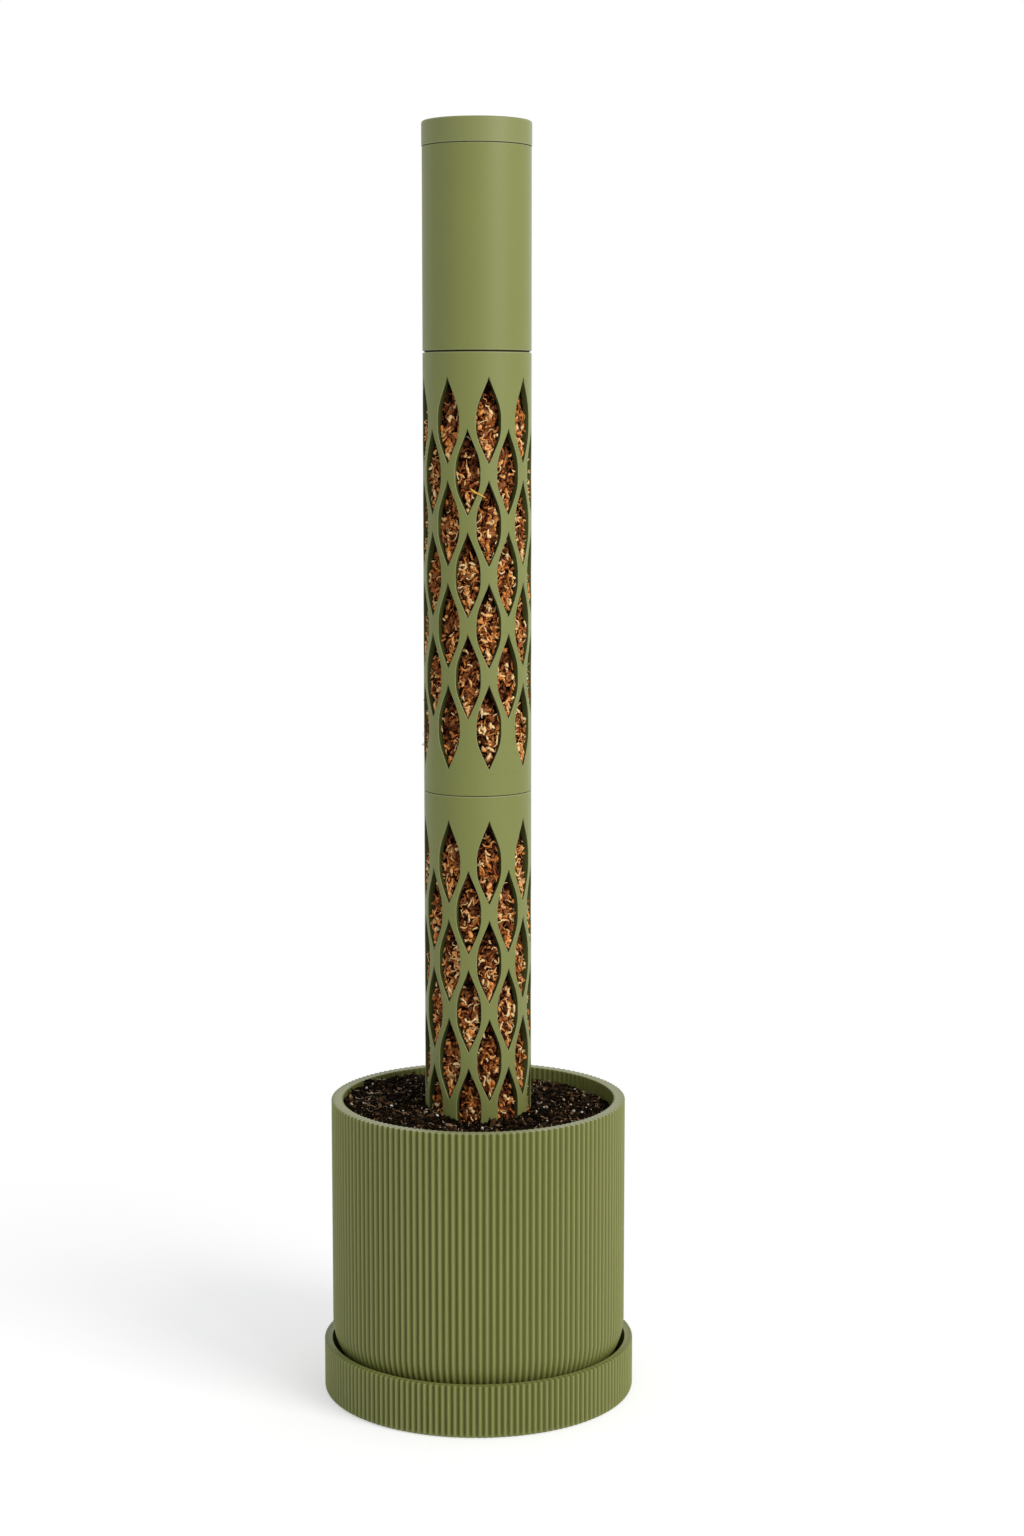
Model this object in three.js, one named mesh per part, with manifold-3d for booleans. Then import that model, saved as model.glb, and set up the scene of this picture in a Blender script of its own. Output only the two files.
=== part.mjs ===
// A self-watering moss pole, planted in a ribbed pot that stands in a ribbed saucer.
// The pole is a stack of tubes of one diameter: a stake, two lattice sleeves full of moss,
// a water reservoir and its cap. Coupling rings inside the tubes join them: a ring locks by a
// bayonet into the sleeve below, and the tube above pushes down over it.
// Millimetres, +Z up, the origin on the floor at the middle of the saucer, the front at -Y.

import * as THREE from 'three';
import { mergeVertices } from 'three/addons/utils/BufferGeometryUtils.js';
import Module from 'manifold-3d';

const wasm = await Module();
wasm.setup();

// Fits
const SEAT_GAP = 0.3; // between two pieces that rest on each other
const SPIGOT_CLEARANCE = 0.25; // between a spigot and the bore it pushes into
const BAYONET_CLEARANCE = 0.35; // around a lug in its slot
const FILL_CLEARANCE = 0.5; // around the moss
const SEAL_CLEARANCE = 0.12; // around the cap's seal ring

// Pole tubes
const POLE_RADIUS = 25;
const TUBE_WALL = 3;
const SPIGOT_HEIGHT = 10; // inside the tube above
const SLEEVE_LENGTH = 201.6;
const RESERVOIR_LENGTH = 91.9;
const RESERVOIR_FLOOR = 3;
const SHADOW_GAP_HEIGHT = 0.5; // rebate round the reservoir's foot
const SHADOW_GAP_DEPTH = 0.8;

// Lattice windows: diamonds with straight flanks and rounded shoulders, in staggered rows
const WINDOWS_PER_ROW = 8;
const WINDOW_HEIGHT = 37;
const WINDOW_WIDTH = 11.7;
const WINDOW_ROW_PITCH = 23.2;
const WINDOW_TOP_BAND = 13.4; // plain tube above the first row's points
const WINDOW_FOOT_BAND = 10; // least plain tube below the last row's points
const WINDOW_FIRST_ANGLE = 13; // degrees from the front, to the right

// Coupling rings and their bayonets
const RING_WALL = 2.4;
const RING_DEPTH = 11.5; // inside the sleeve below
const LUG_COUNT = 3;
const LUG_REACH = 1.4;
const LUG_HEIGHT = 3;
const LUG_ANGLE = 16;
const LUG_DROP = 5; // from the sleeve's top edge to the lug's top
const TWIST_ANGLE = 35; // from locked to the entry slot

// Ground stake
const STAKE_SPIKE_LENGTH = 72.1;
const STAKE_SPIKE_RADIUS = 17;
const STAKE_TIP_RADIUS = 5;
const STAKE_FLANGE = 3;

// Cap
const CAP_RADIUS = 25.2;
const CAP_HEIGHT = 11.2;
const CAP_TOP = 2.6;
const CAP_EDGE_RADIUS = 1.2;
const CAP_SKIRT_DEPTH = 9;
const CAP_SKIRT_WALL = 3;
const CAP_VENT_RADIUS = 1;
const SEAL_THICKNESS = 1.5;
const SEAL_DROP = 4.5; // from the cap's seat down to the seal's middle

// Drip plug in the reservoir's floor
const DRIP_HOLE_RADIUS = 4;
const DRIP_FLANGE_RADIUS = 8;
const DRIP_FLANGE = 2.2;
const DRIP_NOZZLE_LENGTH = 7;
const DRIP_NOZZLE_RADIUS = 2.4;
const DRIP_BORE_RADIUS = 0.9;
const WASHER_THICKNESS = 1.2;
const WASHER_RADIUS = 9.5;

// Pot
const POT_RADIUS = 69.5;
const POT_HEIGHT = 135.9;
const POT_WALL = 5.5;
const POT_FLOOR = 5.5;
const POT_FOOT_FILLET = 30;
const POT_FOOT_HEIGHT = 15; // of the foot that is pressed into the pot's wall
const FOOT_TONGUE = 3; // height of the foot's tongue inside the wall
const POT_RIBS = 140;
const RIB_DEPTH = 0.9;

// Drain plate, let into the pot's floor
const DRAIN_PLATE = 3;
const DRAIN_PLATE_MARGIN = 3.5; // flat floor left round the plate
const DRAIN_LEDGE = 3; // under the plate's edge
const DRAIN_HOLES = 4;
const DRAIN_HOLE_RADIUS = 4.5;
const DRAIN_HOLE_INSET = 12; // from the plate's edge to the middle of a hole

// Soil
const SOIL_TOP_DROP = 6.2; // from the pot's rim to the soil's middle level
const SOIL_TILT = 0.9; // rise to the wall on the left and fall to it on the right
const SOIL_HOLLOW_DEPTH = 2.2; // of the dip in front of the pole
const SOIL_HOLLOW_RADIUS = 18;
const SOIL_HOLLOW_REACH = 36; // from the pole's axis to the middle of the dip
const SOIL_LUMP_HEIGHT = 0.5;
const SOIL_LUMP_SPACING = 22;

// Saucer
const SAUCER_HEIGHT = 24.5;
const SAUCER_WALL = 3.85;
const SAUCER_FLOOR = 3;
const SAUCER_RIBS = 160;
const SAUCER_EDGE = 1.6; // chamfer round the foot
const STAND_BARS = 3; // raised bars that keep the pot off the wet floor
const STAND_BAR_HEIGHT = 1.5;
const STAND_BAR_WIDTH = 5;
const STAND_BAR_INNER = 6;

// Facets
const ROUND_SEGMENTS = 32;
const WIDE_SEGMENTS = 48;
const SMALL_SEGMENTS = 12;
const FILLET_STEPS = 3;
const SOIL_RINGS = 9;
const EDGE_STEPS = 2;
const SHOULDER_STEPS = 2;

// Heights of the stack, from the floor up
const POT_BASE = SAUCER_FLOOR + STAND_BAR_HEIGHT + SEAT_GAP;
const POT_FOOT_TOP = POT_BASE + POT_FOOT_HEIGHT;
const POT_RIM = POT_BASE + POT_HEIGHT;
const DRAIN_PLATE_BASE = POT_BASE + POT_FLOOR - DRAIN_PLATE;
const STAKE_TIP = POT_BASE + POT_FLOOR + SEAT_GAP;
const STAKE_FLANGE_BASE = STAKE_TIP + STAKE_SPIKE_LENGTH;
const LOWER_SLEEVE_BASE = STAKE_FLANGE_BASE + STAKE_FLANGE + SEAT_GAP;
const LOWER_SLEEVE_TOP = LOWER_SLEEVE_BASE + SLEEVE_LENGTH;
const UPPER_SLEEVE_BASE = LOWER_SLEEVE_TOP + SEAT_GAP;
const UPPER_SLEEVE_TOP = UPPER_SLEEVE_BASE + SLEEVE_LENGTH;
const RESERVOIR_BASE = UPPER_SLEEVE_TOP + SEAT_GAP;
const RESERVOIR_TOP = RESERVOIR_BASE + RESERVOIR_LENGTH;
const CAP_BASE = RESERVOIR_TOP + SEAT_GAP;

// The rows of windows that a sleeve has room for
const WINDOW_SPACE = SLEEVE_LENGTH - WINDOW_TOP_BAND - WINDOW_FOOT_BAND - WINDOW_HEIGHT;
const WINDOW_ROWS = Math.floor(WINDOW_SPACE / WINDOW_ROW_PITCH) + 1;

// Radii that follow from the fits
const BORE_RADIUS = POLE_RADIUS - TUBE_WALL;
const SPIGOT_RADIUS = BORE_RADIUS - SPIGOT_CLEARANCE;
const RING_BORE_RADIUS = SPIGOT_RADIUS - RING_WALL;
const MOSS_RADIUS = BORE_RADIUS - FILL_CLEARANCE;
const MOSS_NECK_RADIUS = RING_BORE_RADIUS - FILL_CLEARANCE;
const SAUCER_BORE_RADIUS = POT_RADIUS + SPIGOT_CLEARANCE;
const SAUCER_RADIUS = SAUCER_BORE_RADIUS + SAUCER_WALL;
const DRAIN_PLATE_RADIUS = POT_RADIUS - POT_FOOT_FILLET - DRAIN_PLATE_MARGIN;
const MID_WALL_FILLET = POT_FOOT_FILLET - POT_WALL / 2;
const MID_WALL_REACH = Math.sqrt(MID_WALL_FILLET ** 2 - (POT_FOOT_FILLET - POT_FOOT_HEIGHT) ** 2);
const FOOT_TONGUE_RADIUS = POT_RADIUS - POT_FOOT_FILLET + MID_WALL_REACH;

const PLASTIC_GREEN = 0x737a45;
const MOSS_BROWN = 0x8a5a34;
const SOIL_BROWN = 0x2b2019;
const SILICONE_GREY = 0xb9bbb0;

// Materials
const plastic = () => new THREE.MeshStandardMaterial({ color: PLASTIC_GREEN, roughness: 0.5, metalness: 0 });
const moss = () => new THREE.MeshStandardMaterial({ color: MOSS_BROWN, roughness: 0.95, metalness: 0 });
const soil = () => new THREE.MeshStandardMaterial({ color: SOIL_BROWN, roughness: 1, metalness: 0 });
const silicone = () => new THREE.MeshStandardMaterial({ color: SILICONE_GREY, roughness: 0.6, metalness: 0 });

// Solids

// A closed geometry as a solid: equal vertices are merged and triangles that collapse are left out.
function solidOf(geometry) {
  const bare = geometry.clone();
  bare.deleteAttribute('normal');
  bare.deleteAttribute('uv');
  const merged = mergeVertices(bare, 1e-4);
  const corners = merged.index.array;
  const kept = [];
  for (let i = 0; i < corners.length; i += 3) {
    const [a, b, c] = corners.slice(i, i + 3);
    if (a !== b && b !== c && c !== a) kept.push(a, b, c);
  }
  return new wasm.Manifold(new wasm.Mesh({
    numProp: 3,
    vertProperties: new Float32Array(merged.attributes.position.array),
    triVerts: new Uint32Array(kept),
  }));
}

function meshOf(name, solid, material) {
  const { vertProperties, triVerts } = solid.getMesh();
  const geometry = new THREE.BufferGeometry();
  geometry.setAttribute('position', new THREE.BufferAttribute(vertProperties, 3));
  geometry.setIndex(new THREE.BufferAttribute(triVerts, 1));
  geometry.computeVertexNormals();
  const mesh = new THREE.Mesh(geometry, material);
  mesh.name = name;
  return mesh;
}

// A profile of [radius, height] points turned round Z. The points run anticlockwise, seen with the
// radius to the right and the height up. A profile that stays off the axis is closed on itself.
function turnedGeometry(profile, segments) {
  const points = profile.map(([radius, height]) => new THREE.Vector2(radius, height));
  const onAxis = profile[0][0] === 0 && profile[profile.length - 1][0] === 0;
  if (!onAxis) points.push(points[0].clone());
  return new THREE.LatheGeometry(points, segments).rotateX(Math.PI / 2);
}

function turned(profile, segments = ROUND_SEGMENTS) {
  return solidOf(turnedGeometry(profile, segments));
}

// A straight tube, or a full cylinder where the bore is 0.
function tube(radius, bore, base, top, segments = ROUND_SEGMENTS) {
  if (bore === 0) return turned([[0, base], [radius, base], [radius, top], [0, top]], segments);
  return turned([[bore, base], [radius, base], [radius, top], [bore, top]], segments);
}

// The points of an arc in the profile plane, from one angle to another in degrees.
function arc(radius, height, size, from, to, steps) {
  return Array.from({ length: steps + 1 }, (_, i) => {
    const angle = THREE.MathUtils.degToRad(from + ((to - from) * i) / steps);
    return [radius + size * Math.cos(angle), height + size * Math.sin(angle)];
  });
}

// A part of a ring between two radii and two angles in degrees from +X.
function ringSector(inner, outer, from, to, base, top) {
  const start = THREE.MathUtils.degToRad(from);
  const end = THREE.MathUtils.degToRad(to);
  const shape = new THREE.Shape();
  shape.absarc(0, 0, outer, start, end, false);
  shape.absarc(0, 0, inner, end, start, true);
  shape.closePath();
  const curveSegments = Math.max(2, Math.ceil(((to - from) / 360) * ROUND_SEGMENTS));
  const upright = { depth: top - base, bevelEnabled: false, curveSegments };
  return solidOf(new THREE.ExtrudeGeometry(shape, upright).translate(0, 0, base));
}

// A round solid whose side carries vertical ribs: the profile gives [crest radius, height] from the
// foot up, and the valley between two crests is cut in by the rib depth, less where the radius is less.
function ribbedSolid(profile, ribs) {
  const around = ribs * 2;
  const fullRadius = Math.max(...profile.map(([radius]) => radius));
  const positions = [];
  for (const [radius, height] of profile) {
    for (let i = 0; i < around; i++) {
      const angle = (i / around) * Math.PI * 2;
      const valley = (i % 2) * RIB_DEPTH * (radius / fullRadius);
      positions.push((radius - valley) * Math.cos(angle), (radius - valley) * Math.sin(angle), height);
    }
  }
  const footCentre = positions.length / 3;
  positions.push(0, 0, profile[0][1]);
  positions.push(0, 0, profile[profile.length - 1][1]);
  const topRing = (profile.length - 1) * around;
  const corners = [];
  for (let i = 0; i < around; i++) {
    const next = (i + 1) % around;
    for (let ring = 0; ring < topRing; ring += around) {
      corners.push(ring + i, ring + next, ring + around + next);
      corners.push(ring + i, ring + around + next, ring + around + i);
    }
    corners.push(footCentre, next, i);
    corners.push(footCentre + 1, topRing + i, topRing + next);
  }
  const geometry = new THREE.BufferGeometry();
  geometry.setAttribute('position', new THREE.Float32BufferAttribute(positions, 3));
  geometry.setIndex(corners);
  return solidOf(geometry);
}

// Pot, soil and saucer

// The pot's inside, or what fills it when it is drawn in by a clearance all round.
function potInside(clearance, top) {
  const floor = POT_BASE + POT_FLOOR + clearance;
  const radius = POT_RADIUS - POT_WALL - clearance;
  const fillet = POT_FOOT_FILLET - POT_WALL;
  return [
    [0, floor],
    ...arc(radius - fillet, floor + fillet, fillet, -90, 0, FILLET_STEPS),
    ...top(radius),
  ];
}

// The whole shell of the pot, with a way through its floor and a ledge round it for the drain plate.
function potShell() {
  const outside = [
    ...arc(POT_RADIUS - POT_FOOT_FILLET, POT_BASE + POT_FOOT_FILLET, POT_FOOT_FILLET, -90, 0, FILLET_STEPS),
    [POT_RADIUS, POT_RIM],
  ];
  const above = POT_RIM + POT_WALL;
  let solid = ribbedSolid(outside, POT_RIBS);
  solid = solid.subtract(turned(potInside(0, (radius) => [[radius, above], [0, above]]), WIDE_SEGMENTS));
  const below = POT_BASE - POT_FLOOR;
  const seatRadius = DRAIN_PLATE_RADIUS + SPIGOT_CLEARANCE;
  solid = solid.subtract(tube(seatRadius, 0, DRAIN_PLATE_BASE - SEAT_GAP, POT_RIM, WIDE_SEGMENTS));
  return solid.subtract(tube(DRAIN_PLATE_RADIUS - DRAIN_LEDGE, 0, below, POT_RIM, WIDE_SEGMENTS));
}

// The pot's wall: the shell without its foot and the room for the foot's tongue.
function pot() {
  const seam = POT_FOOT_TOP + SEAT_GAP;
  const room = FOOT_TONGUE_RADIUS + SPIGOT_CLEARANCE;
  const below = POT_BASE - POT_FLOOR;
  const foot = [
    [0, below],
    [SAUCER_RADIUS, below],
    [SAUCER_RADIUS, seam],
    [room, seam],
    [room, seam + FOOT_TONGUE],
    [0, seam + FOOT_TONGUE],
  ];
  return meshOf('pot', potShell().subtract(turned(foot, WIDE_SEGMENTS)), plastic());
}

// The pot's foot: the rounded end of the shell, with a tongue that holds it inside the wall.
function potFoot() {
  const above = POT_RIM + POT_WALL;
  const wall = [
    [0, POT_FOOT_TOP + FOOT_TONGUE],
    [FOOT_TONGUE_RADIUS, POT_FOOT_TOP + FOOT_TONGUE],
    [FOOT_TONGUE_RADIUS, POT_FOOT_TOP],
    [SAUCER_RADIUS, POT_FOOT_TOP],
    [SAUCER_RADIUS, above],
    [0, above],
  ];
  return meshOf('pot_foot', potShell().subtract(turned(wall, WIDE_SEGMENTS)), plastic());
}

// The plate that lies on the ledge, flush with the floor, and lets water out through its holes.
function drainPlate() {
  let solid = tube(DRAIN_PLATE_RADIUS, 0, DRAIN_PLATE_BASE, DRAIN_PLATE_BASE + DRAIN_PLATE, WIDE_SEGMENTS);
  for (let i = 0; i < DRAIN_HOLES; i++) {
    const radius = DRAIN_HOLE_RADIUS;
    const hole = new THREE.CylinderGeometry(radius, radius, DRAIN_PLATE * 2, SMALL_SEGMENTS);
    hole.rotateX(Math.PI / 2);
    hole.translate(DRAIN_PLATE_RADIUS - DRAIN_HOLE_INSET, 0, DRAIN_PLATE_BASE + DRAIN_PLATE / 2);
    hole.rotateZ(((i + 0.5) / DRAIN_HOLES) * Math.PI * 2);
    solid = solid.subtract(solidOf(hole));
  }
  return meshOf('drain_plate', solid, plastic());
}

// The level of the soil's uneven top: tilted, with low lumps and a dip in front of the pole.
function soilLevel(x, y) {
  const tilt = (SOIL_TILT * x) / (POT_RADIUS - POT_WALL);
  const wave = Math.PI / SOIL_LUMP_SPACING;
  const lumps = SOIL_LUMP_HEIGHT * Math.sin(x * wave) * Math.sin(y * wave);
  const away = Math.hypot(x, y + SOIL_HOLLOW_REACH) / SOIL_HOLLOW_RADIUS;
  return POT_RIM - SOIL_TOP_DROP - tilt + lumps - SOIL_HOLLOW_DEPTH * Math.exp(-away * away);
}

// The soil fills the pot round the planted end of the pole.
function pottingSoil() {
  const middleLevel = POT_RIM - SOIL_TOP_DROP;
  const top = (radius) => Array.from({ length: SOIL_RINGS + 1 }, (_, i) => (
    [radius * (1 - i / SOIL_RINGS), middleLevel]
  ));
  const fill = turnedGeometry(potInside(SEAT_GAP, top), WIDE_SEGMENTS);
  const places = fill.attributes.position;
  for (let i = 0; i < places.count; i++) {
    const onTop = places.getZ(i) > middleLevel - SEAT_GAP;
    if (onTop) places.setZ(i, soilLevel(places.getX(i), places.getY(i)));
  }
  const around = SEAT_GAP;
  const planted = [
    [0, STAKE_TIP - around],
    [STAKE_TIP_RADIUS + around, STAKE_TIP - around],
    [STAKE_SPIKE_RADIUS + around, STAKE_FLANGE_BASE - around],
    [POLE_RADIUS + around, STAKE_FLANGE_BASE - around],
    [POLE_RADIUS + around, POT_RIM],
    [0, POT_RIM],
  ];
  return meshOf('potting_soil', solidOf(fill).subtract(turned(planted)), soil());
}

function saucer() {
  const outside = [
    [SAUCER_RADIUS - SAUCER_EDGE, 0],
    [SAUCER_RADIUS, SAUCER_EDGE],
    [SAUCER_RADIUS, SAUCER_HEIGHT],
  ];
  const hollow = tube(SAUCER_BORE_RADIUS, 0, SAUCER_FLOOR, SAUCER_HEIGHT + SAUCER_WALL, WIDE_SEGMENTS);
  let solid = ribbedSolid(outside, SAUCER_RIBS).subtract(hollow);
  const sunk = SAUCER_FLOOR / 2;
  const barOuter = POT_RADIUS - POT_FOOT_FILLET;
  const barLength = barOuter - STAND_BAR_INNER;
  for (let i = 0; i < STAND_BARS; i++) {
    const bar = new THREE.BoxGeometry(barLength, STAND_BAR_WIDTH, STAND_BAR_HEIGHT + sunk);
    bar.translate(STAND_BAR_INNER + barLength / 2, 0, SAUCER_FLOOR + (STAND_BAR_HEIGHT - sunk) / 2);
    bar.rotateZ((i / STAND_BARS) * Math.PI * 2);
    solid = solid.add(solidOf(bar));
  }
  return meshOf('saucer', solid, plastic());
}

// Pole

// The outline of one window as points across and up, anticlockwise from its upper point: the flanks
// run straight to half the half-height, and a shoulder curve drawn towards the corner where they
// would meet rounds each side.
function windowOutline() {
  const half = WINDOW_HEIGHT / 2;
  const corner = (WINDOW_WIDTH / 2) * (4 / 3);
  const shape = new THREE.Shape();
  shape.moveTo(0, half);
  shape.lineTo(-corner / 2, half / 2);
  shape.quadraticCurveTo(-corner, 0, -corner / 2, -half / 2);
  shape.lineTo(0, -half);
  shape.lineTo(corner / 2, -half / 2);
  shape.quadraticCurveTo(corner, 0, corner / 2, half / 2);
  shape.closePath();
  return shape.getPoints(SHOULDER_STEPS).slice(0, -1);
}

// A tube whose wall is a lattice. Each window sits in a diamond cell, the cells of staggered rows
// fill the wall between them, and a plain band closes the zigzag at each end. Cell edges are shared,
// so they are counted in columns round the tube and levels down it.
function latticeTube(base) {
  const top = base + SLEEVE_LENGTH;
  const outline = windowOutline();
  const quarter = outline.length / 4;
  const columns = WINDOWS_PER_ROW * 2 * quarter;
  const firstAngle = THREE.MathUtils.degToRad(WINDOW_FIRST_ANGLE);
  const firstHeight = top - WINDOW_TOP_BAND - WINDOW_HEIGHT / 2;
  const radii = [POLE_RADIUS, BORE_RADIUS];
  const positions = [];
  const corners = [];
  const shared = new Map();

  const point = (angle, height, radius) => {
    positions.push(radius * Math.sin(angle), -radius * Math.cos(angle), height);
    return positions.length / 3 - 1;
  };
  const columnAngle = (column) => firstAngle + (column / columns) * Math.PI * 2;
  const levelHeight = (level) => firstHeight - (level / quarter) * WINDOW_ROW_PITCH;
  const sharedPoint = (column, height, radius) => {
    const wrapped = (column + columns) % columns;
    const key = [wrapped, height, radius].join();
    if (!shared.has(key)) shared.set(key, point(columnAngle(wrapped), height, radius));
    return shared.get(key);
  };
  const quad = (a, b, c, d) => corners.push(a, b, c, a, c, d);

  // The wall of one cell, from its window out to its diamond edge.
  function cell(row, number) {
    const middle = (number * 2 + (row % 2)) * quarter;
    const window = radii.map((radius) => outline.map(({ x, y }) => (
      point(columnAngle(middle) + x / POLE_RADIUS, levelHeight(row * quarter) + y, radius)
    )));
    const edge = radii.map((radius) => outline.map((_, i) => {
      const along = i % quarter;
      const across = [-along, along - quarter, along, quarter - along][Math.floor(i / quarter)];
      const down = [along - quarter, along, quarter - along, -along][Math.floor(i / quarter)];
      return sharedPoint(middle + across, levelHeight(row * quarter + down), radius);
    }));
    for (let i = 0; i < outline.length; i++) {
      const next = (i + 1) % outline.length;
      quad(window[0][i], edge[0][i], edge[0][next], window[0][next]);
      quad(window[1][i], window[1][next], edge[1][next], edge[1][i]);
      quad(window[0][i], window[0][next], window[1][next], window[1][i]);
    }
  }

  // The plain band between an end of the tube and the zigzag edge of the row of cells beside it.
  function band(end, row, up) {
    const edge = (column, radius) => {
      const fromMiddle = (column + (row % 2) * quarter) % (quarter * 2);
      const reach = Math.abs(quarter - fromMiddle);
      return sharedPoint(column, levelHeight(row * quarter - up * reach), radius);
    };
    for (let column = 0; column < columns; column++) {
      const sides = radii.map((radius) => [
        edge(column, radius),
        edge(column + 1, radius),
        sharedPoint(column + 1, end, radius),
        sharedPoint(column, end, radius),
      ]);
      const outer = sides[0];
      const inner = sides[1];
      const order = up > 0 ? [0, 1, 2, 3] : [3, 2, 1, 0];
      quad(...order.map((i) => outer[i]));
      quad(...order.map((i) => inner[3 - i]));
      if (up > 0) quad(outer[3], outer[2], inner[2], inner[3]);
      else quad(outer[2], outer[3], inner[3], inner[2]);
    }
  }

  for (let row = 0; row < WINDOW_ROWS; row++) {
    for (let number = 0; number < WINDOWS_PER_ROW; number++) cell(row, number);
  }
  band(top, 0, 1);
  band(base, WINDOW_ROWS - 1, -1);
  const geometry = new THREE.BufferGeometry();
  geometry.setAttribute('position', new THREE.Float32BufferAttribute(positions, 3));
  geometry.setIndex(corners);
  return solidOf(geometry);
}

function lugAngles() {
  return Array.from({ length: LUG_COUNT }, (_, i) => (i / LUG_COUNT) * 360);
}

// The slots inside a sleeve's top edge: each lug enters straight down and then turns to its lock.
function bayonetSlots(top) {
  const side = THREE.MathUtils.radToDeg(BAYONET_CLEARANCE / BORE_RADIUS) + LUG_ANGLE / 2;
  const inner = BORE_RADIUS - RING_WALL;
  const outer = SPIGOT_RADIUS + LUG_REACH + BAYONET_CLEARANCE;
  const floor = top - LUG_DROP - LUG_HEIGHT - BAYONET_CLEARANCE;
  const roof = top - LUG_DROP + BAYONET_CLEARANCE;
  return lugAngles().flatMap((locked) => [
    ringSector(inner, outer, locked - side, locked + TWIST_ANGLE + side, floor, roof),
    ringSector(inner, outer, locked + TWIST_ANGLE - side, locked + TWIST_ANGLE + side, floor, top + LUG_DROP),
  ]);
}

// A lattice sleeve with the bayonet slots inside its top edge.
function sleeve(name, base) {
  let solid = latticeTube(base);
  for (const slot of bayonetSlots(base + SLEEVE_LENGTH)) solid = solid.subtract(slot);
  return meshOf(name, solid, plastic());
}

// The moss in one sleeve: a full core between the spigots, with a neck through the one at each end.
function mossCore(name, base) {
  const top = base + SLEEVE_LENGTH;
  const profile = [
    [0, base],
    [MOSS_NECK_RADIUS, base],
    [MOSS_NECK_RADIUS, base + SPIGOT_HEIGHT + SEAT_GAP],
    [MOSS_RADIUS, base + SPIGOT_HEIGHT + SEAT_GAP],
    [MOSS_RADIUS, top - RING_DEPTH - SEAT_GAP],
    [MOSS_NECK_RADIUS, top - RING_DEPTH - SEAT_GAP],
    [MOSS_NECK_RADIUS, top],
    [0, top],
  ];
  return meshOf(name, turned(profile), moss());
}

// A coupling ring over the joint between two tubes, with the lugs that lock into the lower one.
function couplingRing(name, sleeveTop) {
  const tubeAbove = sleeveTop + SEAT_GAP;
  let solid = tube(SPIGOT_RADIUS, RING_BORE_RADIUS, sleeveTop - RING_DEPTH, tubeAbove + SPIGOT_HEIGHT);
  const lugTop = sleeveTop - LUG_DROP;
  const root = SPIGOT_RADIUS - RING_WALL / 2;
  for (const locked of lugAngles()) {
    const from = locked - LUG_ANGLE / 2;
    const to = locked + LUG_ANGLE / 2;
    solid = solid.add(ringSector(root, SPIGOT_RADIUS + LUG_REACH, from, to, lugTop - LUG_HEIGHT, lugTop));
  }
  return meshOf(name, solid, plastic());
}

// The stake: a blunt spike, a flange that carries the sleeve, and a spigot cup inside the sleeve.
function groundStake() {
  const flangeTop = STAKE_FLANGE_BASE + STAKE_FLANGE;
  const spigotTop = flangeTop + SPIGOT_HEIGHT;
  const profile = [
    [0, STAKE_TIP],
    [STAKE_TIP_RADIUS, STAKE_TIP],
    [STAKE_SPIKE_RADIUS, STAKE_FLANGE_BASE],
    [POLE_RADIUS, STAKE_FLANGE_BASE],
    [POLE_RADIUS, flangeTop],
    [SPIGOT_RADIUS, flangeTop],
    [SPIGOT_RADIUS, spigotTop],
    [RING_BORE_RADIUS, spigotTop],
    [RING_BORE_RADIUS, flangeTop],
    [0, flangeTop],
  ];
  return meshOf('ground_stake', turned(profile), plastic());
}

// The reservoir: a tube with a socket for the coupling ring, a floor with the drip hole, and a
// rebate round its foot that shows as a shadow gap.
const RESERVOIR_FLOOR_BASE = RESERVOIR_BASE + SPIGOT_HEIGHT + SEAT_GAP;
const RESERVOIR_FLOOR_TOP = RESERVOIR_FLOOR_BASE + RESERVOIR_FLOOR;

function waterReservoir() {
  const profile = [
    [BORE_RADIUS, RESERVOIR_BASE],
    [POLE_RADIUS - SHADOW_GAP_DEPTH, RESERVOIR_BASE],
    [POLE_RADIUS - SHADOW_GAP_DEPTH, RESERVOIR_BASE + SHADOW_GAP_HEIGHT],
    [POLE_RADIUS, RESERVOIR_BASE + SHADOW_GAP_HEIGHT],
    [POLE_RADIUS, RESERVOIR_TOP],
    [BORE_RADIUS, RESERVOIR_TOP],
    [BORE_RADIUS, RESERVOIR_FLOOR_TOP],
    [DRIP_HOLE_RADIUS, RESERVOIR_FLOOR_TOP],
    [DRIP_HOLE_RADIUS, RESERVOIR_FLOOR_BASE],
    [BORE_RADIUS, RESERVOIR_FLOOR_BASE],
  ];
  return meshOf('water_reservoir', turned(profile), plastic());
}

// The washer under the drip plug's flange, and the plug with its fine bore and its nozzle.
const DRIP_SHAFT_RADIUS = DRIP_HOLE_RADIUS - SPIGOT_CLEARANCE;
const WASHER_BASE = RESERVOIR_FLOOR_TOP + SEAT_GAP;
const WASHER_TOP = WASHER_BASE + WASHER_THICKNESS;

function dripWasher() {
  const solid = tube(WASHER_RADIUS, DRIP_HOLE_RADIUS, WASHER_BASE, WASHER_TOP, ROUND_SEGMENTS / 2);
  return meshOf('drip_washer', solid, silicone());
}

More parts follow.
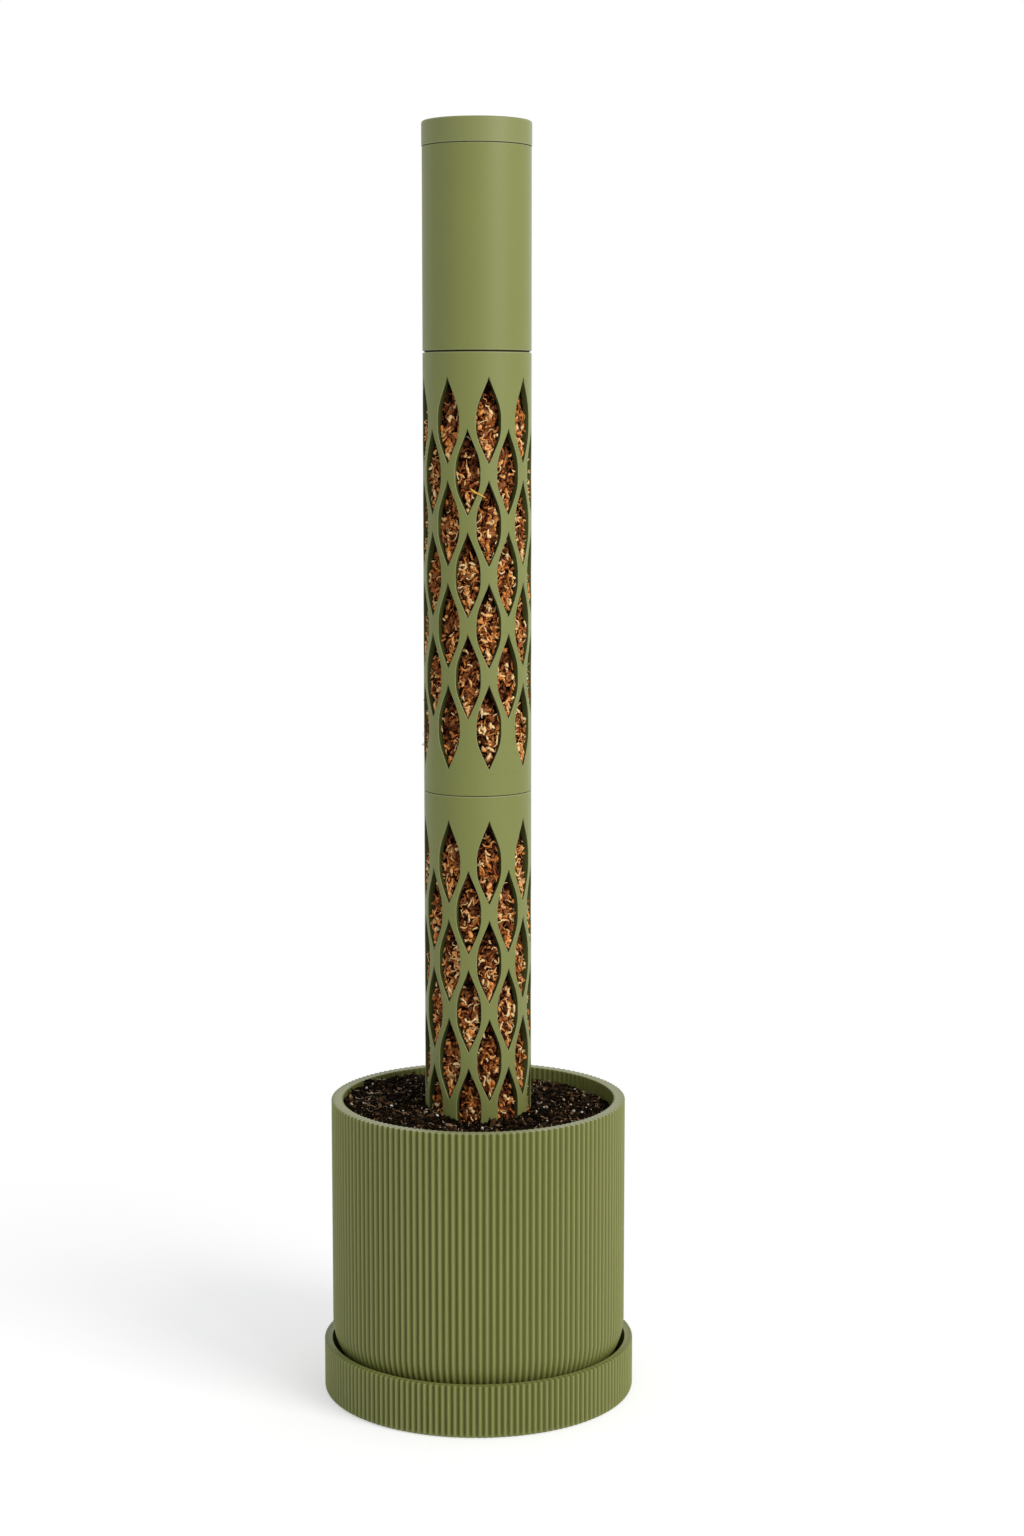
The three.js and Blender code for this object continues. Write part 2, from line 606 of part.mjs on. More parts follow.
function dripPlug() {
  const flangeBase = WASHER_TOP + SEAT_GAP;
  const flangeTop = flangeBase + DRIP_FLANGE;
  const nozzleBase = RESERVOIR_FLOOR_BASE - DRIP_NOZZLE_LENGTH;
  const profile = [
    [DRIP_BORE_RADIUS, nozzleBase],
    [DRIP_NOZZLE_RADIUS, nozzleBase],
    [DRIP_SHAFT_RADIUS, RESERVOIR_FLOOR_BASE],
    [DRIP_SHAFT_RADIUS, flangeBase],
    [DRIP_FLANGE_RADIUS, flangeBase],
    [DRIP_FLANGE_RADIUS, flangeTop],
    [DRIP_BORE_RADIUS, flangeTop],
  ];
  return meshOf('drip_plug', turned(profile, ROUND_SEGMENTS / 2), silicone());
}

// The cap: a disc with a rounded edge and a vent, and a skirt with the groove for its seal ring.
const SKIRT_RADIUS = BORE_RADIUS - SPIGOT_CLEARANCE;
const SKIRT_BORE_RADIUS = SKIRT_RADIUS - CAP_SKIRT_WALL;
const SEAL_MIDDLE_RADIUS = BORE_RADIUS - SEAL_CLEARANCE - SEAL_THICKNESS / 2;
const SEAL_MIDDLE_HEIGHT = CAP_BASE - SEAL_DROP;

function reservoirCap() {
  const top = CAP_BASE + CAP_HEIGHT;
  const grooveRadius = SEAL_MIDDLE_RADIUS - SEAL_THICKNESS / 2 - SEAL_CLEARANCE;
  const grooveHalf = SEAL_THICKNESS / 2 + SEAL_CLEARANCE;
  const profile = [
    [SKIRT_BORE_RADIUS, CAP_BASE - CAP_SKIRT_DEPTH],
    [SKIRT_RADIUS, CAP_BASE - CAP_SKIRT_DEPTH],
    [SKIRT_RADIUS, SEAL_MIDDLE_HEIGHT - grooveHalf],
    [grooveRadius, SEAL_MIDDLE_HEIGHT - grooveHalf],
    [grooveRadius, SEAL_MIDDLE_HEIGHT + grooveHalf],
    [SKIRT_RADIUS, SEAL_MIDDLE_HEIGHT + grooveHalf],
    [SKIRT_RADIUS, CAP_BASE],
    [CAP_RADIUS, CAP_BASE],
    ...arc(CAP_RADIUS - CAP_EDGE_RADIUS, top - CAP_EDGE_RADIUS, CAP_EDGE_RADIUS, 0, 90, EDGE_STEPS),
    [CAP_VENT_RADIUS, top],
    [CAP_VENT_RADIUS, top - CAP_TOP],
    [SKIRT_BORE_RADIUS, top - CAP_TOP],
  ];
  return meshOf('reservoir_cap', turned(profile), plastic());
}

function capSealRing() {
  const sides = SMALL_SEGMENTS / 2;
  const ring = new THREE.TorusGeometry(SEAL_MIDDLE_RADIUS, SEAL_THICKNESS / 2, sides, ROUND_SEGMENTS);
  return meshOf('cap_seal_ring', solidOf(ring.translate(0, 0, SEAL_MIDDLE_HEIGHT)), silicone());
}

// The assembly

const lowerModule = new THREE.Group();
lowerModule.add(
  groundStake(),
  sleeve('lower_sleeve', LOWER_SLEEVE_BASE),
  mossCore('lower_moss_core', LOWER_SLEEVE_BASE),
  couplingRing('lower_coupling_ring', LOWER_SLEEVE_TOP),
);

const upperModule = new THREE.Group();
upperModule.add(
  sleeve('upper_sleeve', UPPER_SLEEVE_BASE),
  mossCore('upper_moss_core', UPPER_SLEEVE_BASE),
  couplingRing('upper_coupling_ring', UPPER_SLEEVE_TOP),
);

const reservoir = new THREE.Group();
reservoir.add(waterReservoir(), dripWasher(), dripPlug(), reservoirCap(), capSealRing());

const planter = new THREE.Group();
planter.add(saucer(), pot(), potFoot(), drainPlate(), pottingSoil());

const mossPole = new THREE.Group();
mossPole.add(planter, lowerModule, upperModule, reservoir);

export default mossPole;
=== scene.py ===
"""Looks of the moss pole: lattice tubes full of moss, a water reservoir with its cap, a ribbed pot
of soil and a ribbed saucer. Sizes are in millimetres here and become metres in the meshes."""

import math

import bmesh
import bpy
import numpy as np
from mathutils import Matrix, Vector

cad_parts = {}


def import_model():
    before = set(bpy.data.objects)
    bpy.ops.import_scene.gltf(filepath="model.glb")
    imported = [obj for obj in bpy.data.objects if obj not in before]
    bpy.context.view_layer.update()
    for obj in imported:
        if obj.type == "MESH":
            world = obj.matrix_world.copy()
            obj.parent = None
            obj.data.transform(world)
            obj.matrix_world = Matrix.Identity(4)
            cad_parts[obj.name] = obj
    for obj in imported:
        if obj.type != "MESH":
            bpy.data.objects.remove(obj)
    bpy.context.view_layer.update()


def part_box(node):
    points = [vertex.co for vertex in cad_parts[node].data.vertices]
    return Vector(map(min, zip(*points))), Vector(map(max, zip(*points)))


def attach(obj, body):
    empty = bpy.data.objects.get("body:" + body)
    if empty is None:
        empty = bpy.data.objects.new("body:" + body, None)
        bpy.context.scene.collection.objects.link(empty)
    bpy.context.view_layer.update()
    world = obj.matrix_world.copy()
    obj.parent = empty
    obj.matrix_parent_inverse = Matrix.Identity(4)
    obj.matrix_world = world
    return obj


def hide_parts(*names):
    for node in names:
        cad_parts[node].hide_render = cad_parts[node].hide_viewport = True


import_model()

MM = 0.001
TURN = 2 * math.pi
SEED = 20
ROUND = 144
MERGE_DISTANCE = 2e-7

# Softened corners: the most of a side that a curve takes, and how far out its guard points are
SOFT_SHARE = 0.3
SOFT_GUARD = 1.5

# Tubes of the pole
POLE_RADIUS = 25.0
TUBE_WALL = 3.0
BORE_RADIUS = POLE_RADIUS - TUBE_WALL
SPIGOT_CLEARANCE = 0.25
SPIGOT_RADIUS = BORE_RADIUS - SPIGOT_CLEARANCE
RING_WALL = 2.4
RING_BORE_RADIUS = SPIGOT_RADIUS - RING_WALL
SEAT_GAP = 0.3
SPIGOT_HEIGHT = 10.0
SHADOW_GAP_HEIGHT = 0.5
SHADOW_GAP_DEPTH = 0.8
SEAM_EDGE = 0.31
RESERVOIR_FLOOR = 3.0
DRIP_HOLE_RADIUS = 4.0

# Lattice windows
WINDOWS_PER_ROW = 8
WINDOW_ROWS = 7
WINDOW_HEIGHT = 37.0
WINDOW_WIDTH = 11.7
WINDOW_ROW_PITCH = 23.2
WINDOW_TOP_BAND = 13.4
WINDOW_FIRST_ANGLE = math.radians(13)
WINDOW_STEP = TURN / WINDOWS_PER_ROW
WINDOW_EDGE = 0.25
WINDOW_EDGE_GUARD = 1.7 * WINDOW_EDGE
WINDOW_POINT = 2.5
WINDOW_POINT_REACH = 1.5
WINDOW_FLANK_SWELL = 0.4
OUTLINE_QUARTER = 11
BAND_END = 1.0

# Bayonet couplings
LUG_COUNT = 3
LUG_STEP = TURN / LUG_COUNT
LUG_FIRST_ANGLE = math.pi / 2
LUG_REACH = 1.4
LUG_HEIGHT = 3.0
LUG_ANGLE = math.radians(16)
LUG_DROP = 5.0
TWIST_ANGLE = math.radians(35)
BAYONET_CLEARANCE = 0.35
STEP_SKIN = 0.01

# Moss, and the strands of it and of the fibres in the soil
MOSS_GAP = 0.4
MOSS_SLOPE = 0.6
MOSS_STAND_BACK = 0.8
MOSS_FRONT = POLE_RADIUS - 0.3
STRAND_SIDES = 4
STRAND_FLATNESS = 0.26
MOSS_LOOKS = (
    {"word": "tufts", "count": 4600, "radius": (20.4, 22.4), "length": (2.0, 4.5), "width": (0.5, 1.3),
     "ragged": (0.6, 1.3), "curl": (0.5, 3.0), "tone": (0.0, 0.64), "bare": 0.5, "steps": 5},
    {"word": "flakes", "count": 2500, "radius": (21.0, 23.3), "length": (2.2, 5.2), "width": (1.0, 2.5),
     "ragged": (0.4, 1.4), "curl": (0.2, 2.4), "tone": (0.04, 1.2), "bare": 0.25, "steps": 6},
    {"word": "curls", "count": 750, "radius": (21.6, 23.4), "length": (3.5, 7.0), "width": (0.5, 1.4),
     "ragged": (0.5, 1.4), "curl": (0.2, 2.4), "tone": (0.35, 1.2), "bare": 0.2, "steps": 8},
    {"word": "tips", "count": 420, "radius": (22.0, 23.4), "length": (2.5, 5.0), "width": (1.1, 2.2),
     "ragged": (0.6, 1.3), "curl": (0.1, 1.2), "tone": (0.55, 1.0), "steps": 6},
)

# Pot and saucer
POT_WALL = 5.5
POT_FLOOR = 5.5
POT_FOOT_FILLET = 30.0
POT_FOOT_HEIGHT = 15.0
FOOT_TONGUE = 3.0
POT_RIBS = 140
SAUCER_RIBS = 160
RIB_DEPTH = 1.2
RIB_SAMPLES = 8
INNER_RIB_DEPTH = 0.8
RIM_EDGE = 0.35
DRAIN_LEDGE = 3.0
DRAIN_HOLES = 4
DRAIN_HOLE_RADIUS = 4.5
DRAIN_HOLE_INSET = 12.0
SAUCER_WALL = 3.85
SAUCER_FLOOR = 3.0
STAND_BARS = 3
STAND_BAR_HEIGHT = 1.5
STAND_BAR_WIDTH = 5.0
STAND_BAR_INNER = 6.0

# Soil; a ripple is a wavelength and a height
SOIL_TOP_DROP = 4.6
SOIL_MOUND = 0.8
SOIL_TILT = 2.6
SOIL_HOLLOW_DEPTH = 4.0
SOIL_HOLLOW_RADIUS = 18.0
SOIL_HOLLOW_REACH = 36.0
SOIL_LUMP_HEIGHT = 0.5
SOIL_LUMP_SPACING = 22.0
SOIL_RIPPLES = ((9, 0.24), (5, 0.18), (2.6, 0.13))
SOIL_HOLE = POLE_RADIUS + 0.2
SOIL_LARGEST = 2.0
SOIL_KINDS = (
    {"count": 5800, "size": 0.43, "spread": 0.42, "long": (0.8, 2.8), "tone": (0.0, 0.58)},
    {"count": 700, "size": 0.95, "spread": 0.3, "long": (0.8, 1.6), "tone": (0.1, 0.62)},
    {"count": 520, "size": 0.33, "spread": 0.5, "long": (0.8, 2.0), "tone": (0.86, 1.1)},
    {"count": 300, "size": 0.55, "spread": 0.45, "long": (1.0, 3.0), "tone": (0.6, 0.86)},
)

# Colours and finishes
POLE_GREEN = (0.200, 0.221, 0.057)
POT_GREEN = (0.237, 0.256, 0.067)
SILICONE_GREY = (0.48, 0.49, 0.44)
# A pale colour that the edge value mixes into the plastic: a painted highlight and sheen on edges, rims and
# seams
PAINTED_HIGHLIGHT_COLOUR = (0.55, 0.57, 0.42, 1)
PAINTED_HIGHLIGHT_SHARE = 0.26
GROOVE_SHINE = 0.06
GRAIN_HEIGHT = 0.00008
WHITE = (1, 1, 1, 1)
FLOOR_GREY = (0.84, 0.845, 0.86, 1)

# Lamps and camera, in metres
LAMP_HEIGHT = 1.2
CAMERA_PLACE = (0.0160, -1.2525, 0.4582)
CAMERA_PITCH = math.radians(7.298)
CAMERA_FOCAL_PIXELS = 2704.2
IMAGE_HEIGHT = 1536
SENSOR_HEIGHT = 36.0


# Meshes

def node_span(node):
    """The lowest and highest level of a node, in millimetres."""
    low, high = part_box(node)
    return low.z / MM, high.z / MM


def node_radius(node):
    """The radius of a round node on the axis, in millimetres."""
    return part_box(node)[1].x / MM


def grid_faces(rows, columns, close_rows=False):
    """Quads between neighbours of a grid of points that is numbered row by row. Each row is a ring."""
    r, c = np.meshgrid(np.arange(rows if close_rows else rows - 1), np.arange(columns), indexing="ij")
    r2, c2 = (r + 1) % rows, (c + 1) % columns
    corners = [r * columns + c, r * columns + c2, r2 * columns + c2, r2 * columns + c]
    return np.stack(corners, -1).reshape(-1, 4)


def joined(parts):
    """Several (points, faces) as one, the faces renumbered."""
    starts = np.cumsum([0] + [len(points) for points, _ in parts])
    points = np.concatenate([points for points, _ in parts])
    faces = np.concatenate([faces + start for (_, faces), start in zip(parts, starts)])
    return points, faces


def repeated(points, faces):
    """Copies of one small shape: points is (copies, points of the shape, 3)."""
    copies, count = points.shape[:2]
    shifted = faces[None] + (np.arange(copies) * count)[:, None, None]
    return points.reshape(-1, 3), shifted.reshape(-1, faces.shape[1])


def placed(name, data):
    """A new object in the scene, at the origin."""
    made = bpy.data.objects.new(name, data)
    bpy.context.scene.collection.objects.link(made)
    return made


def piece(name, shape, body, slot, material, replaces=None, **attributes):
    """A smooth mesh object from points in millimetres, faces, and one value per point for each attribute."""
    points, faces = shape
    mesh = bpy.data.meshes.new(name)
    mesh.vertices.add(len(points))
    mesh.vertices.foreach_set("co", (points * MM).astype(np.float32).ravel())
    mesh.loops.add(faces.size)
    mesh.loops.foreach_set("vertex_index", faces.astype(np.int32).ravel())
    mesh.polygons.add(len(faces))
    mesh.polygons.foreach_set("loop_start", np.arange(0, faces.size, faces.shape[1], dtype=np.int32))
    mesh.polygons.foreach_set("use_smooth", np.ones(len(faces), bool))
    for label, values in attributes.items():
        layer = mesh.attributes.new(label, "FLOAT", "POINT")
        layer.data.foreach_set("value", np.asarray(values, np.float32).ravel())
    mesh.update(calc_edges=True)
    work = bmesh.new()
    work.from_mesh(mesh)
    bmesh.ops.remove_doubles(work, verts=work.verts, dist=MERGE_DISTANCE)
    work.to_mesh(mesh)
    work.free()
    mesh.materials.append(material)
    made = placed(name, mesh)
    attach(made, body)
    if replaces:
        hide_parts(replaces)


def full_turn(segments):
    """Even angles once round."""
    return np.arange(segments) * (TURN / segments)


def from_nearest(angle, first, step):
    """The angle from the nearest of the angles that follow a first one by even steps."""
    return np.mod(angle - first + step / 2, step) - step / 2


def around_axis(radius, angle, height):
    """Points at a radius and an angle from the front, turned towards +X."""
    radius, angle, height = np.broadcast_arrays(radius, angle, height)
    return np.stack([radius * np.sin(angle), -radius * np.cos(angle), height], -1)


def spun(points, turns):
    """One copy of the points for each angle, turned by it about the axis."""
    x, y, z = points.T
    turn = turns[:, None]
    east = x * np.cos(turn) - y * np.sin(turn)
    north = x * np.sin(turn) + y * np.cos(turn)
    return np.stack([east, north, np.broadcast_to(z, east.shape)], -1)


def softened(corners, radius, steps=4):
    """A closed profile whose corners become short curves: a corner P between unit directions a and b
    is the quadratic curve from P + a r to P + b r drawn towards P, with a guard point beyond each end."""
    corner = np.asarray(corners, float)
    to_last = np.roll(corner, 1, 0) - corner
    to_next = np.roll(corner, -1, 0) - corner
    last_length = np.linalg.norm(to_last, axis=1, keepdims=True)
    next_length = np.linalg.norm(to_next, axis=1, keepdims=True)
    most = SOFT_SHARE * np.minimum(last_length, next_length)
    size = np.minimum(np.broadcast_to(radius, len(corner))[:, None], most)
    start = to_last / last_length * size
    end = to_next / next_length * size
    t = np.linspace(0, 1, steps + 1)[None, :, None]
    curve = (1 - t) ** 2 * start[:, None] + t ** 2 * end[:, None]
    reach = np.concatenate([start[:, None] * SOFT_GUARD, curve, end[:, None] * SOFT_GUARD], 1)
    return (corner[:, None] + reach).reshape(-1, 2)


def turned(profile, segments=ROUND):
    """A closed profile of radius and height points carried round the axis. The profile runs
    anticlockwise, seen with the radius to the right."""
    points = around_axis(profile[:, :1], full_turn(segments)[None], profile[:, 1:])
    return points.reshape(-1, 3), grid_faces(len(profile), segments, close_rows=True)


def waves(seed, count, longest, shortest):
    """A smooth random height over angle and level: a sum of sines with whole turns round the axis
    and wavelengths between the two given ones, in millimetres on the pole's surface."""
    draw = np.random.default_rng(seed)
    length = np.exp(draw.uniform(math.log(shortest), math.log(longest), count))
    heading = draw.uniform(0, TURN, count)
    turns = np.round(TURN * POLE_RADIUS / length * np.cos(heading))
    rise = TURN / length * np.sin(heading)
    phase = draw.uniform(0, TURN, count)
    share = np.sqrt(length / length.sum())

    def height(angle, level):
        total = np.zeros(np.broadcast(angle, level).shape)
        for k, q, p, s in zip(turns, rise, phase, share):
            total += s * np.sin(k * angle + q * level + p)
        return total

    return height


# Lattice sleeves

def row_start(row):
    """The angle of the first window of a row; every other row is half a step on."""
    return WINDOW_FIRST_ANGLE + (row % 2) * WINDOW_STEP / 2


def row_middle(row, top):
    """The level of the middle of a row of windows, in a sleeve with this top."""
    return top - WINDOW_TOP_BAND - WINDOW_HEIGHT / 2 - row * WINDOW_ROW_PITCH


def window_half_width(from_point):
    """Half the window's width at a share of the way from its point (0) to its middle (1): a straight
    flank to half way, then a parabola that levels out at the middle."""
    share = np.where(from_point < 0.5, 4 / 3 * from_point, 1 - 4 / 3 * (1 - from_point) ** 2)
    return share * WINDOW_WIDTH / 2


def window_outline():
    """The window's outline, anticlockwise from its upper point, as distances across and up. The upper
    point is drawn out a little and the flanks swell a little."""
    t = np.arange(OUTLINE_QUARTER) / OUTLINE_QUARTER
    swell = WINDOW_FLANK_SWELL * np.sin(math.pi * t)
    falling = window_half_width(t) + swell
    rising = window_half_width(1 - t) + swell
    half = WINDOW_HEIGHT / 2
    across = np.concatenate([-falling, -rising, falling, rising])
    up = np.concatenate([1 - t, -t, t - 1, t]) * half
    up += np.maximum(up, 0) / half * WINDOW_POINT_REACH
    return np.stack([across, up], -1)


def outward_offsets(outline):
    """For each point of a closed outline, the step that moves both its edges out by one."""
    edge = np.roll(outline, -1, 0) - outline
    normal = np.stack([edge[:, 1], -edge[:, 0]], -1)
    normal /= np.linalg.norm(normal, axis=1, keepdims=True)
    before = np.roll(normal, 1, 0)
    return (normal + before) / (1 + (normal * before).sum(1, keepdims=True))


def cell_edge():
    """The diamond cell's edge, point for point beside the window's outline."""
    t = np.arange(OUTLINE_QUARTER) / OUTLINE_QUARTER
    across = np.concatenate([-t, t - 1, t, 1 - t]) * WINDOW_STEP / 2 * POLE_RADIUS
    up = np.concatenate([1 - t, -t, t - 1, t]) * WINDOW_ROW_PITCH
    return np.stack([across, up], -1)


def lattice_cells(top):
    """The wall round every window. A profile runs from the cell's edge over the outside to the window,
    round its softened rim, through the wall and back along the inside; it is carried round the outline.
    Also gives, for each point, a painted highlight on the rim and painted shade that deepens into the
    window; the rim of the window's upper point gets painted shade, not the highlight."""
    outline = window_outline()
    offset = outward_offsets(outline)
    edge = cell_edge()
    to_window = outline + offset * WINDOW_EDGE_GUARD - edge
    bend = np.linspace(0, math.pi / 2, 4)
    rim = [(WINDOW_EDGE * (1 - math.sin(a)), WINDOW_EDGE * (1 - math.cos(a))) for a in bend]
    rim = [(WINDOW_EDGE_GUARD, 0.0)] + rim + [(0.0, WINDOW_EDGE_GUARD)]
    loops = [(edge + to_window * share, 0.0) for share in (0, 0.35, 0.7)]
    loops += [(outline + offset * out, depth) for out, depth in rim]
    loops += [(loop, TUBE_WALL - depth) for loop, depth in reversed(loops)]
    flat = np.stack([loop for loop, _ in loops])
    radius = POLE_RADIUS - np.array([depth for _, depth in loops])[:, None]
    # The outer rim is loops 3 to 8: each table below gives loops and the values there.
    loop = np.arange(len(loops))[:, None]
    point = np.clip(1 - (outline[:, 1].max() - outline[:, 1]) / WINDOW_POINT, 0, 1)
    # Painted highlight on the outer rim, left off at the window's upper point
    painted_rim_highlight = np.interp(loop, [4, 5, 6, 7], [0, 1, 0.7, 0]) * (1 - point)
    # Painted shade that deepens through the wall into the window and covers the upper point's rim
    painted_window_shade = np.interp(loop, [6, 7, 8, 9], [0, 0.4, 0.85, 1])
    painted_window_shade = np.maximum(painted_window_shade, np.interp(loop, [3, 4], [0, 1]) * point)
    cells = []
    for row in range(WINDOW_ROWS):
        for number in range(WINDOWS_PER_ROW):
            angle = row_start(row) + number * WINDOW_STEP + flat[..., 0] / POLE_RADIUS
            cells.append(around_axis(radius, angle, row_middle(row, top) + flat[..., 1]).reshape(-1, 3))
    values = {
        "edge": np.tile(painted_rim_highlight.ravel(), len(cells)),
        "groove": np.tile(painted_window_shade.ravel(), len(cells)),
    }
    return repeated(np.stack(cells), grid_faces(len(loops), len(outline))), values


def slot_depth(angle, below_top):
    """How deep the bayonet slots cut into a sleeve's bore: a run from the lock to the entry, and the
    entry itself, open at the top."""
    half = LUG_ANGLE / 2 + BAYONET_CLEARANCE / BORE_RADIUS
    from_lock = from_nearest(angle, LUG_FIRST_ANGLE, LUG_STEP)
    in_run = (from_lock > -half) & (from_lock < TWIST_ANGLE + half)
    in_run &= below_top > LUG_DROP - BAYONET_CLEARANCE
    in_entry = np.abs(from_lock - TWIST_ANGLE) < half
    above_floor = below_top < LUG_DROP + LUG_HEIGHT + BAYONET_CLEARANCE
    depth = LUG_REACH + BAYONET_CLEARANCE - SPIGOT_CLEARANCE
    return np.where((in_run | in_entry) & above_floor, depth, 0.0)


def sleeve_band(end, middle, row, up, slots):
    """The plain band between the zigzag edge of a row of cells and the tube's end: straight levels from
    the zigzag outside, over the softened end, and down to the zigzag inside."""
    columns = WINDOWS_PER_ROW * 2 * OUTLINE_QUARTER
    column = np.arange(columns)
    angle = WINDOW_FIRST_ANGLE + column / columns * TURN
    from_middle = np.mod(column / OUTLINE_QUARTER + row % 2, 2)
    zigzag = middle + up * np.abs(1 - from_middle) * WINDOW_ROW_PITCH
    corners = [(BORE_RADIUS, -BAND_END), (POLE_RADIUS, -BAND_END), (POLE_RADIUS, 0), (BORE_RADIUS, 0)]
    edge = softened(corners, 0.3)
    reach = end - up * BAND_END - zigzag
    rows = [(POLE_RADIUS, zigzag + reach * share) for share in np.linspace(0, 1, 7)[:-1]]
    rows += [(radius, end + up * level) for radius, level in edge[len(edge) // 2:]]
    inside = [2.0, 6.0, 10.0]
    if slots:
        lines = [LUG_DROP - BAYONET_CLEARANCE, LUG_DROP + LUG_HEIGHT + BAYONET_CLEARANCE]
        inside = [2.0] + [line + skin for line in lines for skin in (-STEP_SKIN, STEP_SKIN)] + [11.0]
    rows += [(BORE_RADIUS, end - up * level) for level in inside]
    last = end - up * inside[-1]
    rows += [(BORE_RADIUS, last + (zigzag - last) * share) for share in np.linspace(0, 1, 5)[1:]]
    near_bore = BORE_RADIUS + 0.6
    points = []
    for radius, level in rows:
        level = np.broadcast_to(level, columns)
        deeper = slot_depth(angle, end - level) if slots and radius < near_bore else 0.0
        points.append(around_axis(np.maximum(radius, BORE_RADIUS + deeper), angle, level))
    faces = grid_faces(len(rows), columns)
    return np.concatenate(points), faces if up > 0 else faces[:, ::-1]


def sleeve(node, body, material):
    """The lattice between its two plain bands. A highlight is painted on the outer edge at the upper seam.
    """
    base, top = node_span(node)
    last = WINDOW_ROWS - 1
    cells, values = lattice_cells(top)
    shape = joined([
        cells,
        sleeve_band(top, row_middle(0, top), 0, 1, True),
        sleeve_band(base, row_middle(last, top), last, -1, False),
    ])
    band = shape[0][len(cells[0]):]
    # A painted highlight on the band's outer edge at the upper seam
    at_seam = (np.hypot(band[:, 0], band[:, 1]) > POLE_RADIUS - 0.2) & (band[:, 2] > top - SEAM_EDGE)
    values["edge"] = np.concatenate([values["edge"], at_seam])
    values["groove"] = np.concatenate([values["groove"], np.zeros(len(band))])
    piece(node + "_lattice", shape, body, "pole_plastic", material, node, **values)


# Moss

def window_inset(angle, level, top):
    """How far a point on the sleeve lies inside the nearest window, across, and where it lies between
    the window's lower point (-1) and upper point (1)."""
    far_outside = -99.0
    best = np.full(np.broadcast(angle, level).shape, far_outside)
    place = np.zeros_like(best)
    for row in range(WINDOW_ROWS):
        turn = from_nearest(angle, row_start(row), WINDOW_STEP)
        height = (level - row_middle(row, top)) / (WINDOW_HEIGHT / 2)
        inset = window_half_width(np.clip(1 - np.abs(height), 0, 1)) - np.abs(turn) * POLE_RADIUS
        inset = np.where(np.abs(height) < 1, inset, far_outside)
        place = np.where(inset > best, height, place)
        best = np.maximum(best, inset)
    return best, place


def moss_room(angle, level, top):
    """The largest radius that moss may take: under the wall behind the lattice, and further out in the
    middle of a window. The moss stands back from some stretches of a window's sides."""
    inset, _ = window_inset(angle, level, top)
    wave_up, waves_round = 0.35, 9
    stands_back = 0.5 + 0.5 * np.sin(wave_up * level + waves_round * angle)
    share = np.clip(inset / MOSS_SLOPE + 1 - MOSS_STAND_BACK * stands_back, 0, 1)
    under_wall = BORE_RADIUS - MOSS_GAP
    return under_wall + share * (MOSS_FRONT - under_wall)


def moss_core(node, body, material, seed):
    """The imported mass: a cylinder with necks inside the couplings, its surface lumpy, swelling in each
    window and sunk towards the window's upper point. The first and last row close it on the axis."""
    base, top = node_span(node)
    columns, rows = 200, 420
    sunk, swelling, lump_height, fine_height, hollow_depth = 2.1, 0.9, 1.3, 0.6, 2.2
    clear, slope = 0.6, 2.0
    lower_neck, upper_neck = base + SPIGOT_HEIGHT + 1, top - 12.8
    fully_shaded_radius, unshaded_radius = 17.3, 22.3
    angle = full_turn(columns)[None]
    level = np.linspace(base, top, rows)[:, None]
    lumps = waves(seed, count=40, longest=14, shortest=4)(angle, level)
    fine = waves(seed + 1, count=40, longest=4, shortest=1.6)(angle, level)
    inset, place = window_inset(angle, level, top)
    hollow = np.clip(place + 0.1, 0, 1) ** 2 * np.clip(inset + 1, 0, 1) * hollow_depth
    swell = np.clip(inset, 0, 1)
    radius = BORE_RADIUS - sunk + swelling * swell + lumps * lump_height + fine * fine_height - hollow
    radius = np.minimum(radius, BORE_RADIUS - clear + swell)
    neck = RING_BORE_RADIUS - clear
    below, above = np.clip((level - lower_neck) / slope, 0, 1), np.clip((upper_neck - level) / slope, 0, 1)
    radius = np.minimum(radius, neck + (BORE_RADIUS + 2 - neck) * np.minimum(below, above))
    radius = np.pad(radius, ((1, 1), (0, 0)))
    level = np.pad(level, ((1, 1), (0, 0)), "edge")
    shape = around_axis(radius, angle, level).reshape(-1, 3), grid_faces(len(radius), columns)
    # The depth value sets painted shade: the mass darkens as its surface lies deeper
    depth = np.clip((radius.ravel() - fully_shaded_radius) / (unshaded_radius - fully_shaded_radius), 0, 1)
    piece(node + "_mass", shape, body, "moss", material, node, depth=depth)


def curled_strands(length, width, heading, curl, sway, arch, roll, twist):
    """Ribbons that curl up. Along a ribbon t runs from -1/2 to 1/2, in steps that shorten to the ends:
    its direction in the plane is heading + curl t + sway cos(2 pi t), it leaves the plane by
    arch cos(2 pi t), and its section is a flat ellipse, turned about the ribbon by roll + twist t, whose
    size follows sqrt(1 - (2 t)^4), so both ends close in a point. The widths are one row for each
    ribbon. The result is the distance across, up and out from the ribbon's middle, for every point."""
    t = -0.5 * np.cos(np.linspace(0, math.pi, width.shape[1]))[None]
    turn = heading[:, None] + curl[:, None] * t + sway[:, None] * np.cos(TURN * t)
    pace = length[:, None] * np.diff(t, axis=1, prepend=t[:, :1])
    across = np.cumsum(np.cos(turn) * pace, 1)
    up = np.cumsum(np.sin(turn) * pace, 1)
    across -= across.mean(1, keepdims=True)
    up -= up.mean(1, keepdims=True)
    out = arch[:, None] * np.cos(TURN * t)
    size = width * np.sqrt(np.maximum(1 - (2 * t) ** 4, 0))
    ring = full_turn(STRAND_SIDES)
    wide = size[..., None] * np.cos(ring) / 2
    thick = size[..., None] * np.sin(ring) / 2 * STRAND_FLATNESS
    tilt = (roll[:, None] + twist[:, None] * t)[..., None]
    beside = wide * np.cos(tilt) - thick * np.sin(tilt)
    rise = wide * np.sin(tilt) + thick * np.cos(tilt)
    return (
        across[..., None] - np.sin(turn)[..., None] * beside,
        up[..., None] + np.cos(turn)[..., None] * beside,
        out[..., None] + rise,
    )


